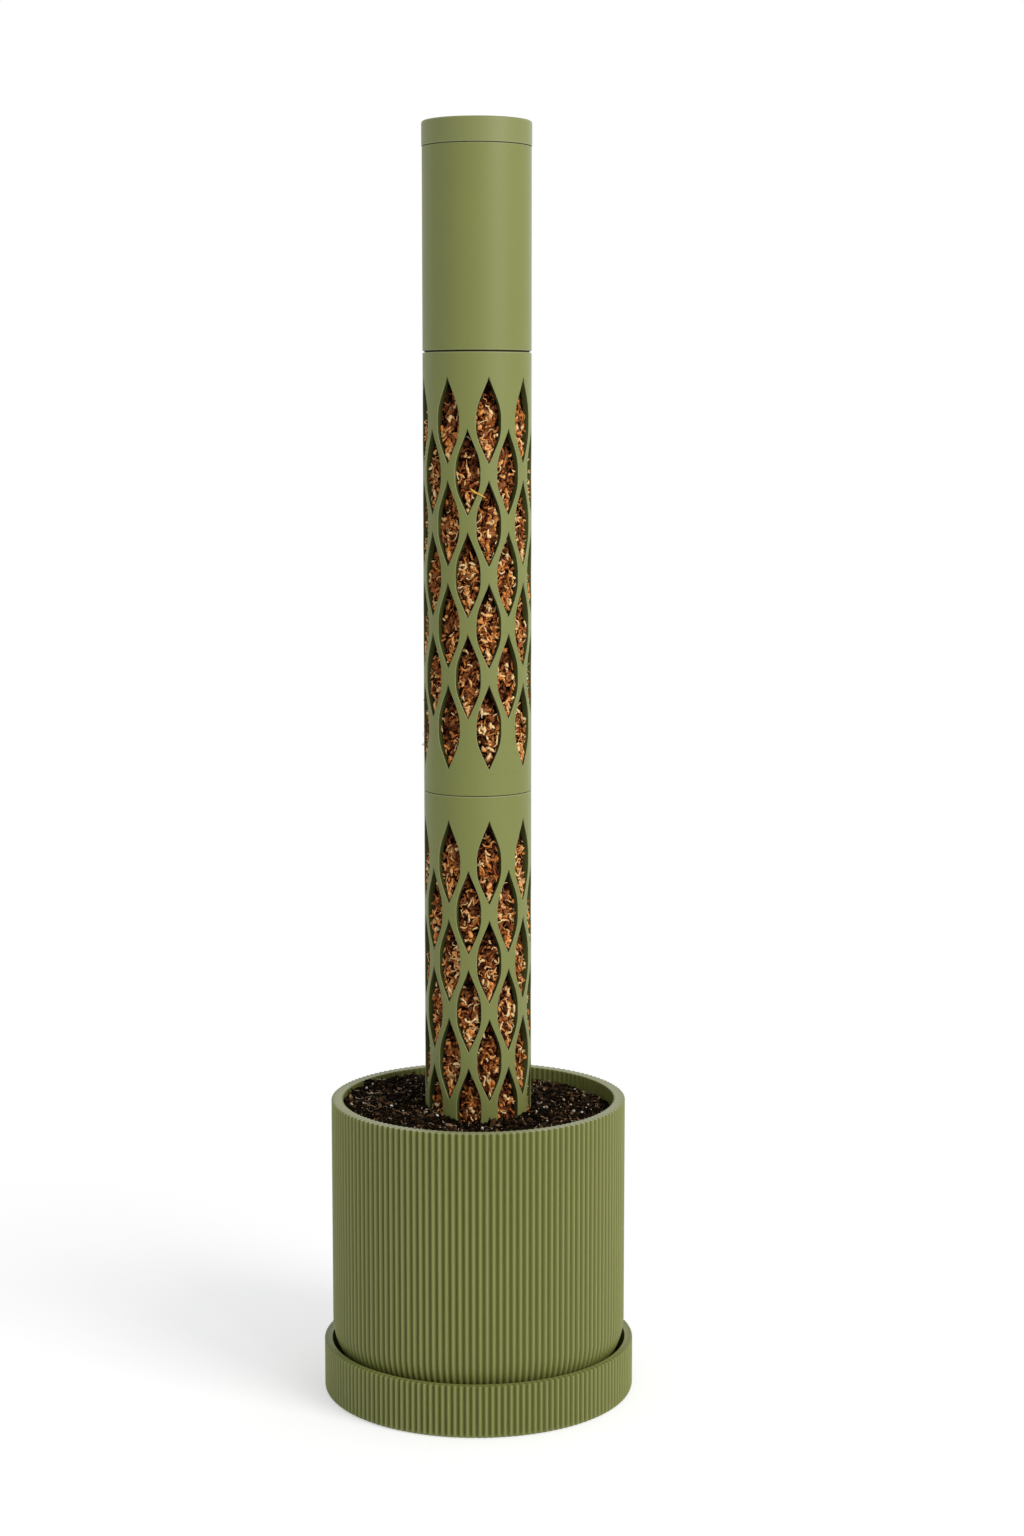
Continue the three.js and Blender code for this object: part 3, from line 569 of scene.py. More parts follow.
def random_fibres(draw, count, steps, length, width, ragged, curl, sway, arch, roll, twist):
    """Curled strands in any heading; the words give ranges, or spreads about nought."""
    return curled_strands(
        length=draw.uniform(*length, count),
        width=draw.uniform(*width, (count, 1)) * draw.uniform(*ragged, (count, steps)),
        heading=draw.uniform(0, TURN, count),
        curl=draw.normal(0, curl, count),
        sway=draw.normal(0, sway, count),
        arch=draw.uniform(*arch, count),
        roll=draw.normal(0, roll, count),
        twist=draw.normal(0, twist, count),
    )


def strands(name, body, slot, material, points, steps, tone, **attributes):
    """One piece of many strands: points is (strands, points of a strand, 3), with one tone a strand."""
    shape = repeated(points, grid_faces(steps, STRAND_SIDES))
    piece(name, shape, body, slot, material, tone=np.repeat(tone, points.shape[1]), **attributes)


def window_places(draw, top, count, bare):
    """Random places in the windows, fewer and fewer above a share of the way to their upper points."""
    tries_each, fade, emptiest, overlap = 6, 0.6, 0.92, 0.6
    tries = count * tries_each
    lowest = row_middle(WINDOW_ROWS - 1, top) - WINDOW_HEIGHT / 2
    angle = draw.uniform(0, TURN, tries)
    level = draw.uniform(lowest, top - WINDOW_TOP_BAND, tries)
    inset, place = window_inset(angle, level, top)
    empty = np.clip((place - bare) / fade, 0, emptiest)
    kept = np.flatnonzero((inset > -overlap) & (draw.uniform(0, 1, tries) > empty))[:count]
    return angle[kept], level[kept], place[kept]


def tip_places(draw, top, count):
    """Random places near the lower points of the windows."""
    lowest, highest, sideways = -0.92, -0.45, 0.5
    row = draw.integers(0, WINDOW_ROWS, count)
    number = draw.integers(0, WINDOWS_PER_ROW, count)
    angle = row_start(row) + number * WINDOW_STEP
    place = draw.uniform(lowest, highest, count)
    level = row_middle(row, top) + WINDOW_HEIGHT / 2 * place
    return angle + draw.normal(0, sideways, count) / POLE_RADIUS, level, place


def moss_layer(node, body, material, look, seed):
    """Curled strands and flakes in the windows, held back where the lattice covers them and sunk towards the
    windows' upper points. The look gives the count and the ranges of radius, length, width, curl and tone;
    the tone also drifts slowly from place to place. Strands lower in the layer take darker tones, and the
    depth value darkens strands that lie deep: both are painted shade."""
    _, top = node_span(node)
    full, sunk, lean = 0.9, 1.9, 0.45
    painted_shade_by_layer, tone_drift = 0.35, 0.09
    fully_shaded_radius, unshaded_radius = 18.4, 22.0
    draw = np.random.default_rng(seed)
    if look["word"] == "tips":
        angle, level, place = tip_places(draw, top, look["count"])
        heading = math.pi / 2 + draw.normal(0, lean, look["count"])
    else:
        angle, level, place = window_places(draw, top, look["count"], look["bare"])
        heading = draw.uniform(0, TURN, len(angle))
    count = len(angle)
    layer = draw.uniform(0, 1, count)
    drift = waves(seed, count=12, longest=40, shortest=12)(angle, level)
    fullness = full * np.clip(0.3 - place, 0, 1) - sunk * np.clip(place, 0, 1) ** 2
    radius = np.interp(layer, (0, 1), look["radius"]) + fullness
    ragged = draw.uniform(*look["ragged"], (count, look["steps"] + 1))
    across, up, out = curled_strands(
        length=draw.uniform(*look["length"], count),
        width=draw.uniform(*look["width"], count)[:, None] * ragged,
        heading=heading,
        curl=draw.uniform(*look["curl"], count) * draw.choice([-1, 1], count),
        sway=draw.normal(0, 0.35, count),
        arch=draw.uniform(-0.8, 0.8, count),
        roll=draw.normal(0, 0.6, count),
        twist=draw.normal(0, 1.2, count),
    )
    angle = angle[:, None, None] + across / POLE_RADIUS
    level = level[:, None, None] + up
    radius = np.minimum(radius[:, None, None] + out, moss_room(angle, level, top))
    # Deeper layers take darker tones: painted shade
    share = painted_shade_by_layer * layer + (1 - painted_shade_by_layer) * draw.uniform(0, 1, count)
    # The depth value darkens strands that lie deep: painted shade
    strands(
        node + "_" + look["word"], body, "moss", material,
        around_axis(radius, angle, level).reshape(count, -1, 3), look["steps"] + 1,
        tone=np.interp(share, (0, 1), look["tone"]) + tone_drift * drift,
        depth=np.clip((radius.ravel() - fully_shaded_radius) / (unshaded_radius - fully_shaded_radius), 0, 1),
    )


def loose_strands(name, body, material, angle, level, radius, tone, steps, shape):
    """Thin strands that lie on the sleeve or stick out of its windows."""
    across, up, out = shape
    angle = angle[:, None, None] + across / POLE_RADIUS
    points = around_axis(radius + out, angle, level[:, None, None] + up).reshape(len(tone), -1, 3)
    depth = np.ones(points.shape[0] * points.shape[1])
    strands(name, body, "moss", material, points, steps, tone, depth=depth)


def moss_strays(node, body, fibre_material, straw_material, seed):
    """Fibres that stick out of the windows on the left, and one straw caught across a strap."""
    base, _ = node_span(node)
    draw = np.random.default_rng(seed)
    count, steps, ragged = 6, 11, (0.8, 1.2)
    angle = math.radians(-78) + draw.normal(0, 0.09, count)
    level = base + draw.uniform(14, 44, count)
    tone = draw.uniform(0.2, 0.55, count)
    fibres = random_fibres(
        draw, count, steps, length=(6, 10), width=(0.3, 0.5), ragged=ragged,
        curl=1.6, sway=0.5, arch=(0.8, 2.0), roll=0.3, twist=0.6)
    radius = POLE_RADIUS - 0.6
    loose_strands(node + "_strays", body, fibre_material, angle, level, radius, tone, steps, fibres)
    one = np.ones(1)
    angle, level, radius, tone = math.radians(1.2) * one, (base + 138.2) * one, POLE_RADIUS + 0.2, 0.6 * one
    caught = curled_strands(
        length=8.4 * one, width=draw.uniform(*ragged, (1, steps)), heading=math.radians(-33) * one,
        curl=0.4 * one, sway=0.1 * one, arch=0.3 * one, roll=0.1 * one, twist=0.4 * one)
    loose_strands(node + "_straw", body, straw_material, angle, level, radius, tone, steps, caught)


# Turned pieces of the pole

def reservoir(material):
    """A tube with a shadow gap at its foot and a floor with the drip hole; shade is painted inside the gap
    and a highlight on the outer edges at the seams.
    """
    base, top = node_span("water_reservoir")
    floor = base + SPIGOT_HEIGHT + SEAT_GAP
    gap_top = base + SHADOW_GAP_HEIGHT
    gap_radius = POLE_RADIUS - SHADOW_GAP_DEPTH
    profile = softened([
        (BORE_RADIUS, base), (gap_radius, base), (gap_radius, gap_top), (POLE_RADIUS, gap_top),
        (POLE_RADIUS, top), (BORE_RADIUS, top),
        (BORE_RADIUS, floor + RESERVOIR_FLOOR), (DRIP_HOLE_RADIUS, floor + RESERVOIR_FLOOR),
        (DRIP_HOLE_RADIUS, floor), (BORE_RADIUS, floor),
    ], 0.35)
    near_gap = profile[:, 1] < gap_top + SEAM_EDGE
    outer = profile[:, 0] > POLE_RADIUS - 0.1
    # Painted shade inside the shadow gap; painted highlight on the outer edges at both seams
    piece(
        "reservoir_tube", turned(profile), "reservoir", "pole_plastic", material, "water_reservoir",
        groove=np.repeat(near_gap & ~outer, ROUND),
        edge=np.repeat(outer & (near_gap | (profile[:, 1] > top - SEAM_EDGE)), ROUND),
    )


def cap(material):
    """A disc with a skirt, a groove for the seal ring and a small vent; its top edge is rounder."""
    base, top = node_span("reservoir_cap")
    radius = node_radius("reservoir_cap")
    skirt_depth, skirt_wall, top_wall, vent = 9.0, 3.0, 2.6, 1.0
    groove, groove_half, seal_drop = 20.26, 0.87, 4.5
    edge_size, top_edge_size = 0.3, 1.3
    seam_painted_highlight, plain_painted_sheen = 0.9, 0.2
    seat = base + skirt_depth
    seal = seat - seal_drop
    bore = SPIGOT_RADIUS - skirt_wall
    corners = [
        (bore, base), (SPIGOT_RADIUS, base),
        (SPIGOT_RADIUS, seal - groove_half), (groove, seal - groove_half),
        (groove, seal + groove_half), (SPIGOT_RADIUS, seal + groove_half),
        (SPIGOT_RADIUS, seat), (radius, seat), (radius, top),
        (vent, top), (vent, top - top_wall), (bore, top - top_wall),
    ]
    sizes = [top_edge_size if corner == (radius, top) else edge_size for corner in corners]
    profile = softened(corners, sizes, 6)
    # A highlight is painted on the outer edge at the seam, and a fainter painted sheen over the rest
    at_seam = (profile[:, 0] > radius - 0.2) & (profile[:, 1] < seat + SEAM_EDGE)
    edge = np.repeat(np.where(at_seam, seam_painted_highlight, plain_painted_sheen), ROUND)
    piece("cap_disc", turned(profile), "cap", "pole_plastic", material, "reservoir_cap", edge=edge)


def seal_ring(material):
    """A circle carried round the axis."""
    low, high = node_span("cap_seal_ring")
    half = (high - low) / 2
    t = full_turn(16)
    middle_radius = node_radius("cap_seal_ring") - half
    profile = np.stack([middle_radius + half * np.cos(t), (low + high) / 2 + half * np.sin(t)], -1)
    piece("seal_ring", turned(profile), "cap", "silicone", material, "cap_seal_ring")


def drip_fitting(material):
    """The plug in the reservoir's floor, a nozzle below and a flange above, and the washer under it."""
    segments = 64
    low, high = node_span("drip_plug")
    floor = node_span("water_reservoir")[0] + SPIGOT_HEIGHT + SEAT_GAP
    bore, nozzle, shaft, flange, flange_height = 0.9, 2.4, 3.75, 8.0, 2.2
    profile = softened([
        (bore, low), (nozzle, low), (shaft, floor), (shaft, high - flange_height),
        (flange, high - flange_height), (flange, high), (bore, high),
    ], 0.4)
    piece("drip_nozzle", turned(profile, segments), "reservoir", "silicone", material, "drip_plug")
    low, high = node_span("drip_washer")
    rim_radius = 9.5
    corners = [(DRIP_HOLE_RADIUS, low), (rim_radius, low), (rim_radius, high), (DRIP_HOLE_RADIUS, high)]
    shape = turned(softened(corners, 0.3), segments)
    piece("drip_seal", shape, "reservoir", "silicone", material, "drip_washer")


def stake(material):
    """A spike under a flange, with a spigot that stands up into the lower sleeve."""
    base, top = node_span("ground_stake")
    flange_top = top - SPIGOT_HEIGHT
    flange_base = flange_top - 3.0
    spike, tip, axis = 17.0, 5.0, 0.0
    profile = softened([
        (axis, base), (tip, base), (spike, flange_base), (POLE_RADIUS, flange_base),
        (POLE_RADIUS, flange_top), (SPIGOT_RADIUS, flange_top), (SPIGOT_RADIUS, top),
        (RING_BORE_RADIUS, top), (RING_BORE_RADIUS, flange_top), (axis, flange_top),
    ], [0, 1.5, 0.5, 0.5, 0.3, 0.1, 0.4, 0.4, 0.3, 0])
    profile[:, 0] = np.maximum(profile[:, 0], axis)
    piece("ground_spike", turned(profile, 72), "planter", "pole_plastic", material, "ground_stake")


def coupling(node, body, material):
    """A ring whose outside carries the lugs: the radius is a function of angle and level."""
    base, top = node_span(node)
    segments, lug_softness = 216, 0.3
    angle = full_turn(segments)
    lug = (np.abs(from_nearest(angle, LUG_FIRST_ANGLE, LUG_STEP)) < LUG_ANGLE / 2) * LUG_REACH
    lug_top = top - SPIGOT_HEIGHT - SEAT_GAP - LUG_DROP
    lug_base = lug_top - LUG_HEIGHT
    edge = softened([
        (RING_BORE_RADIUS, base), (SPIGOT_RADIUS, base), (SPIGOT_RADIUS, top), (RING_BORE_RADIUS, top),
    ], 0.4)
    half = len(edge) // 2
    lines = [lug_base - STEP_SKIN, lug_base + lug_softness, lug_top - lug_softness, lug_top + STEP_SKIN]
    outside = [(SPIGOT_RADIUS, line) for line in lines]
    profile = np.concatenate([edge[:half], outside, edge[half:]])
    on_lug = np.zeros((len(profile), 1))
    on_lug[half + 1:half + 3] = 1
    points = around_axis(profile[:, :1] + on_lug * lug, angle, profile[:, 1:]).reshape(-1, 3)
    shape = points, grid_faces(len(profile), segments, close_rows=True)
    piece(node + "_bayonet", shape, body, "pole_plastic", material, node)


# Pot, saucer and soil

def ribbed(sections, ribs):
    """A closed profile carried round the axis with vertical ribs. The profile comes in sections of
    points, each with the depth to which a valley is cut in, or out of an inner wall where it is
    negative. Across a rib the cut follows a raised cosine, (1/2 + 1/2 cos(2 pi t))^1.2, so crests and
    valleys are round. Also gives how deep in a valley each point lies, from 0 to 1."""
    profile = np.concatenate([points for points, _ in sections])
    inward = np.concatenate([np.broadcast_to(depth, len(points)) for points, depth in sections])[:, None]
    t = np.tile(np.arange(RIB_SAMPLES) / RIB_SAMPLES, ribs)
    angle = full_turn(ribs * RIB_SAMPLES)
    valley = ((0.5 + 0.5 * np.cos(TURN * t)) ** 1.2)[None]
    points = around_axis(profile[:, :1] - inward * valley, angle, profile[:, 1:])
    faces = grid_faces(len(profile), len(angle), close_rows=True)
    # The groove value sets painted shade: darkest down in the outer valleys, and on the inner wall between
    # its grooves
    groove = np.clip(np.abs(inward) / RIB_DEPTH, 0, 1) * np.where(inward > 0, valley, 1 - valley)
    return (points.reshape(-1, 3), faces), groove.ravel()


def arc(radius, height, size, start, end, steps):
    """Points of an arc in the profile plane, between two angles in degrees."""
    t = np.radians(np.linspace(start, end, steps + 1))
    return np.stack([radius + size * np.cos(t), height + size * np.sin(t)], -1)


def rim(inner, outer, level):
    """A flat rim with softened edges: its outer half and its inner half."""
    low = level - 4
    corners = [(outer, low), (outer, level), (inner, level), (inner, low)]
    return softened(corners, RIM_EDGE).reshape(len(corners), -1, 2)[1:3]


def pot(material):
    """The ribbed wall, and the foot that is pressed into it with a tongue. The ribs run out in the foot,
    and fine ones line the inside of the rim."""
    base = node_span("pot_foot")[0]
    top = node_span("pot")[1]
    radius = node_radius("pot")
    inner = radius - POT_WALL
    fillet, inside = POT_FOOT_FILLET, POT_FOOT_FILLET - POT_WALL
    middle, centre = base + fillet, radius - fillet
    seam = base + POT_FOOT_HEIGHT + SEAT_GAP / 2
    lip = seam + FOOT_TONGUE
    outer_angle = -math.degrees(math.asin((middle - seam) / fillet))
    inner_angle = -math.degrees(math.asin((middle - lip) / inside))
    tongue = centre + math.sqrt((fillet - POT_WALL / 2) ** 2 - (middle - seam) ** 2)
    room = tongue + SPIGOT_CLEARANCE
    outer_rim, inner_rim = rim(inner, radius, top)
    plain_start, plain_end = middle + 20, top - 30
    inner_ribs_end, inner_wall_start = top - 20, top - 30

    swell = arc(centre, middle, fillet, outer_angle, 0, 8)
    shape, groove = ribbed([
        ([(room, lip + SEAT_GAP), (room, seam)], 0),
        (swell, RIB_DEPTH * swell[:, 0] / radius),
        ([(radius, plain_start), (radius, plain_end)], RIB_DEPTH),
        (outer_rim, RIB_DEPTH),
        (inner_rim, -INNER_RIB_DEPTH),
        ([(inner, inner_ribs_end)], -INNER_RIB_DEPTH),
        ([(inner, inner_wall_start)], 0),
        (arc(centre, middle, inside, 0, inner_angle, 6) + [0, SEAT_GAP], 0),
    ], POT_RIBS)
    # A painted sheen on the rim's top
    rim_painted_sheen = 0.9
    edge = rim_painted_sheen * (shape[0][:, 2] > top - 0.1)
    piece("ribbed_pot", shape, "planter", "pot_plastic", material, "pot", groove=groove, edge=edge)

    ledge = node_span("drain_plate")[0] - SEAT_GAP
    plate = node_radius("drain_plate")
    hole, opening = plate + SPIGOT_CLEARANCE, plate - DRAIN_LEDGE
    bowl = arc(centre, middle, fillet, -90, outer_angle, 10)
    shape, groove = ribbed([
        ([(hole, base + POT_FLOOR), (hole, ledge), (opening, ledge), (opening, base)], 0),
        (bowl, RIB_DEPTH * np.clip(bowl[:, 0] / radius * 1.4 - 0.6, 0, 1)),
        ([(tongue, seam), (tongue, lip)], 0),
        (arc(centre, middle, inside, inner_angle, -90, 8), 0),
    ], POT_RIBS)
    piece("pot_foot_bowl", shape, "planter", "pot_plastic", material, "pot_foot", groove=groove)


def drain_plate(material):
    """A round plate with holes: each hole's sector is a grid from the sector's edge over the top to the
    hole, down through it and back along the underside."""
    base, top = node_span("drain_plate")
    radius = node_radius("drain_plate")
    quarter, soft = 12, 0.3
    t = np.arange(quarter) / quarter
    far = radius * np.concatenate([t, np.ones(quarter), 1 - t])
    turn = math.pi / DRAIN_HOLES * np.concatenate([-np.ones(quarter), 2 * t - 1, np.ones(quarter)])
    flat = np.stack([far * np.cos(turn), far * np.sin(turn)], -1)
    middle = np.array([radius - DRAIN_HOLE_INSET, 0.0])
    outward = (flat - middle) / np.linalg.norm(flat - middle, axis=1, keepdims=True)
    hole = middle + DRAIN_HOLE_RADIUS * outward
    wide = middle + (DRAIN_HOLE_RADIUS + soft) * outward
    loops = [(flat, top), (wide, top), (hole, top - soft), (hole, base + soft), (wide, base), (flat, base)]
    sector = np.concatenate([np.column_stack([loop, np.full(len(loop), level)]) for loop, level in loops])
    turns = (np.arange(DRAIN_HOLES) + 0.5) / DRAIN_HOLES * TURN
    segments = DRAIN_HOLES * quarter
    wall = around_axis(radius, full_turn(segments), np.array([[base], [top]])).reshape(-1, 3)
    shape = joined([
        repeated(spun(sector, turns), grid_faces(len(loops), len(flat))), (wall, grid_faces(2, segments)),
    ])
    piece("drain_disc", shape, "planter", "pot_plastic", material, "drain_plate")


def stand_bar(start, end, low, high):
    """A straight bar along +X: a softened section carried along it and drawn to a point at both ends."""
    half, soft, shrink = STAND_BAR_WIDTH / 2, 0.4, 0.92
    section = softened([(-half, low), (half, low), (half, high), (-half, high)], soft)
    core = np.array([0.0, (low + high) / 2])
    along = [(start, 0), (start, shrink), (start + soft, 1), (end - soft, 1), (end, shrink), (end, 0)]
    points = np.concatenate([
        np.column_stack([np.full(len(section), x), core + (section - core) * share]) for x, share in along
    ])
    return points, grid_faces(len(along), len(section))


def saucer(material):
    """A ribbed wall on a flat floor, plain inside, with bars that the pot stands on."""
    base, top = node_span("saucer")
    radius = node_radius("saucer")
    inner = radius - SAUCER_WALL
    floor_top = base + SAUCER_FLOOR
    outer_rim, inner_rim = rim(inner, radius, top)
    half_way, foot, bend = 40, 2, 3
    # The levels just off a bend or a rim lie on straight stretches and keep their faces short.
    shape, groove = ribbed([
        ([(0, base), (half_way, base), (radius - 3, base)], 0),
        (arc(radius - foot, base + foot, foot, -90, 0, 5), np.linspace(0, RIB_DEPTH, 6)),
        ([(radius, base + 5), (radius, top - 5)], RIB_DEPTH),
        (outer_rim, RIB_DEPTH),
        (inner_rim, 0),
        ([(inner, top - 8), (inner, floor_top + 4)], 0),
        (arc(inner - bend, floor_top + bend, bend, 0, -90, 5), 0),
        ([(half_way, floor_top), (0, floor_top)], 0),
    ], SAUCER_RIBS)
    bar_end = node_radius("pot") - POT_FOOT_FILLET
    bar, bar_faces = stand_bar(STAND_BAR_INNER, bar_end, floor_top - 0.5, floor_top + STAND_BAR_HEIGHT)
    shape = joined([shape, repeated(spun(bar, full_turn(STAND_BARS)), bar_faces)])
    groove = np.concatenate([groove, np.zeros(STAND_BARS * len(bar))])
    piece("ribbed_saucer", shape, "saucer", "pot_plastic", material, "saucer", groove=groove)


def soil_level(x, y):
    """The soil's top over the pot: higher on the left, a low mound round the pole, a dip in front of it,
    low lumps, and small rises and dips that are sums of sines."""
    outer = node_radius("potting_soil")
    share = np.clip((np.hypot(x, y) - POLE_RADIUS) / (outer - POLE_RADIUS), 0, 1)
    level = node_span("pot")[1] - SOIL_TOP_DROP - SOIL_TILT * x / outer + SOIL_MOUND * (1 - share ** 2)
    level -= SOIL_HOLLOW_DEPTH * np.exp(-(x ** 2 + (y + SOIL_HOLLOW_REACH) ** 2) / SOIL_HOLLOW_RADIUS ** 2)
    wave = math.pi / SOIL_LUMP_SPACING
    level += SOIL_LUMP_HEIGHT * np.sin(x * wave) * np.sin(y * wave)
    draw = np.random.default_rng(SEED + 5)
    for length, height in SOIL_RIPPLES:
        for heading in draw.uniform(0, TURN, 3):
            along = x * math.cos(heading) + y * math.sin(heading)
            level += height * np.sin(TURN / length * along + draw.uniform(0, TURN))
    return level


def soil_bed(material):
    """A ring of soil round the pole: its hole narrows round the spike, its foot follows the pot's, and
    its top is the soil's level on rings from the wall to the pole."""
    base, _ = node_span("potting_soil")
    outer = node_radius("potting_soil")
    columns, ring_count = 360, 64
    hole_top, hole_foot, spike_room = base + 70, base + 60, 20
    angle = full_turn(columns)
    rings = np.linspace(outer, SOIL_HOLE, ring_count)
    fillet = POT_FOOT_FILLET - POT_WALL
    foot = arc(outer - fillet, base + fillet, fillet, -90, 0, 8)
    below = np.concatenate([[(SOIL_HOLE, hole_top), (SOIL_HOLE, hole_foot), (spike_room, base)], foot])
    side = around_axis(below[:, :1], angle, below[:, 1:])
    crust = around_axis(rings[:, None], angle, 0)
    crust[..., 2] = soil_level(crust[..., 0], crust[..., 1])
    points = np.concatenate([side, crust], 0)
    shape = points.reshape(-1, 3), grid_faces(len(points), columns, close_rows=True)
    piece("soil_bed", shape, "planter", "soil", material, "potting_soil")


def soil_places(draw, count, margin):
    """Random places on the soil's top, evenly spread, and the level there."""
    outer = node_radius("potting_soil")
    distance = np.sqrt(draw.uniform((SOIL_HOLE + margin) ** 2, (outer - margin) ** 2, count))
    turn = draw.uniform(0, TURN, count)
    x, y = distance * np.sin(turn), -distance * np.cos(turn)
    return x, y, soil_level(x, y)


def inside_pot(points):
    """Points drawn back between the pole and the pot's wall."""
    outer = node_radius("potting_soil")
    far = np.hypot(points[..., 0], points[..., 1])
    points[..., :2] *= (np.clip(far, SOIL_HOLE + 0.1, outer - 0.2) / far)[..., None]
    return points


def soil_bits(material):
    """Crumbs, lumps, white grains and bits of bark: uneven icosahedra, stretched, tilted and turned at
    random. An icosahedron's corners are two poles and two rings of five at a height of 1 / sqrt(5)."""
    draw = np.random.default_rng(SEED + 6)
    count = sum(kind["count"] for kind in SOIL_KINDS)
    flatness, uneven, tilt_spread = 0.8, (0.7, 1.15), 0.6
    margin, raised, jitter = 1.2, 0.25, 0.3
    size = np.concatenate([
        np.exp(draw.normal(math.log(kind["size"]), kind["spread"], kind["count"])) for kind in SOIL_KINDS
    ])
    size = np.minimum(size, SOIL_LARGEST)
    long, tone = (
        np.concatenate([draw.uniform(*kind[word], kind["count"]) for kind in SOIL_KINDS])
        for word in ("long", "tone")
    )
    x, y, ground = soil_places(draw, count, margin)
    spin = draw.uniform(0, TURN, count)[:, None]
    tilt = draw.normal(0, tilt_spread, count)[:, None]
    turn = full_turn(5)
    height = 1 / math.sqrt(5)
    upper = around_axis(2 * height, turn, height)
    lower = around_axis(2 * height, turn + math.pi / 5, -height)
    corners = np.concatenate([upper, lower, [[0, 0, 1], [0, 0, -1]]])
    n = np.arange(5)
    after = (n + 1) % 5
    faces = np.concatenate([
        np.stack([n, after, n * 0 + 10], -1), np.stack([n + 5, after, n], -1),
        np.stack([n + 5, after + 5, after], -1), np.stack([after + 5, n + 5, n * 0 + 11], -1),
    ])
    stretch = np.stack([size * long, size, size * flatness], -1)
    chip = corners[None] * stretch[:, None] * draw.uniform(*uneven, (count, len(corners), 1))
    rise = np.cos(tilt) * chip[..., 2] + np.sin(tilt) * chip[..., 0]
    along = np.cos(tilt) * chip[..., 0] - np.sin(tilt) * chip[..., 2]
    east = np.cos(spin) * along - np.sin(spin) * chip[..., 1]
    north = np.sin(spin) * along + np.cos(spin) * chip[..., 1]
    ground += size * raised + draw.normal(0, jitter, count)
    points = np.stack([x[:, None] + east, y[:, None] + north, ground[:, None] + rise], -1)
    tone = np.repeat(tone, len(corners))
    piece("soil_bits", repeated(inside_pot(points), faces), "planter", "soil", material, tone=tone)


def soil_fibres(material):
    """Thin curled fibres that lie on the soil."""
    draw = np.random.default_rng(SEED + 7)
    count, steps, margin, raised, tones = 420, 7, 2.0, 0.9, (0.62, 0.95)
    x, y, ground = soil_places(draw, count, margin)
    across, up, out = random_fibres(
        draw, count, steps, length=(1.5, 7), width=(0.25, 0.5), ragged=(0.7, 1.3),
        curl=1.1, sway=0.3, arch=(-0.6, 0.6), roll=0.5, twist=0.5)
    east, north = x[:, None, None] + across, y[:, None, None] + up
    level = np.maximum((ground + raised)[:, None, None] + out, soil_level(east, north))
    points = inside_pot(np.stack([east, north, level], -1).reshape(count, -1, 3))
    strands("soil_fibres", "planter", "soil", material, points, steps, draw.uniform(*tones, count))


# Materials

def feed(tree, node, values):
    """Links or fills the inputs of a node that are named."""
    for key, value in values.items():
        if isinstance(value, bpy.types.NodeSocket):
            tree.links.new(value, node.inputs[key])
        else:
            node.inputs[key].default_value = value


def new_node(tree, kind, inputs=None, **settings):
    """Adds a node, sets its properties, and links or fills its inputs."""
    made = tree.nodes.new(kind)
    for key, value in settings.items():
        setattr(made, key, value)
    feed(tree, made, inputs or {})
    return made


def object_place(tree):
    """Object coordinates."""
    return new_node(tree, "ShaderNodeTexCoord").outputs["Object"]


def point_value(tree, label):
    """A value that the mesh holds for each point."""
    return new_node(tree, "ShaderNodeAttribute", attribute_name=label).outputs["Fac"]


def noise(tree, coordinates, scale, detail, roughness=0.55):
    """Cloudy noise from 0 to 1."""
    made = new_node(tree, "ShaderNodeTexNoise", {
        "Vector": coordinates, "Scale": scale, "Detail": detail, "Roughness": roughness,
    })
    return made.outputs["Fac"]


def ramp(tree, value, stops):
    """A colour ramp through (place, colour) stops."""
    made = new_node(tree, "ShaderNodeValToRGB", {"Fac": value})
    elements = made.color_ramp.elements
    while len(elements) < len(stops):
        elements.new(0.5)
    for element, (place, colour) in zip(elements, stops):
        element.position = place
        element.color = (*colour, 1)
    return made.outputs["Color"]


def span(tree, value, low, high):
    """A value from 0 to 1 spread between two others."""
    made = new_node(tree, "ShaderNodeMapRange", {"Value": value, "To Min": low, "To Max": high})
    return made.outputs["Result"]


def worked_out(tree, operation, first, second, clamp=False):
    """The sum, product or other operation of two values."""
    made = new_node(tree, "ShaderNodeMath", {0: first, 1: second}, operation=operation, use_clamp=clamp)
    return made.outputs[0]


def brightened(tree, colour, value):
    """A colour made brighter or darker by a factor."""
    made = new_node(tree, "ShaderNodeHueSaturation", {"Color": colour, "Value": value})
    return made.outputs["Color"]


def blended(tree, share, first, second, way="MIX"):
    """Two colours mixed or multiplied; a colour mix has its colours at sockets 6 and 7."""
    made = new_node(
        tree, "ShaderNodeMix", {0: share, 6: first, 7: second}, data_type="RGBA", blend_type=way)
    return made.outputs[2]


def bumped(tree, height, strength, distance):
    """A normal from a height."""
    made = new_node(tree, "ShaderNodeBump", {"Height": height, "Strength": strength, "Distance": distance})
    return made.outputs["Normal"]


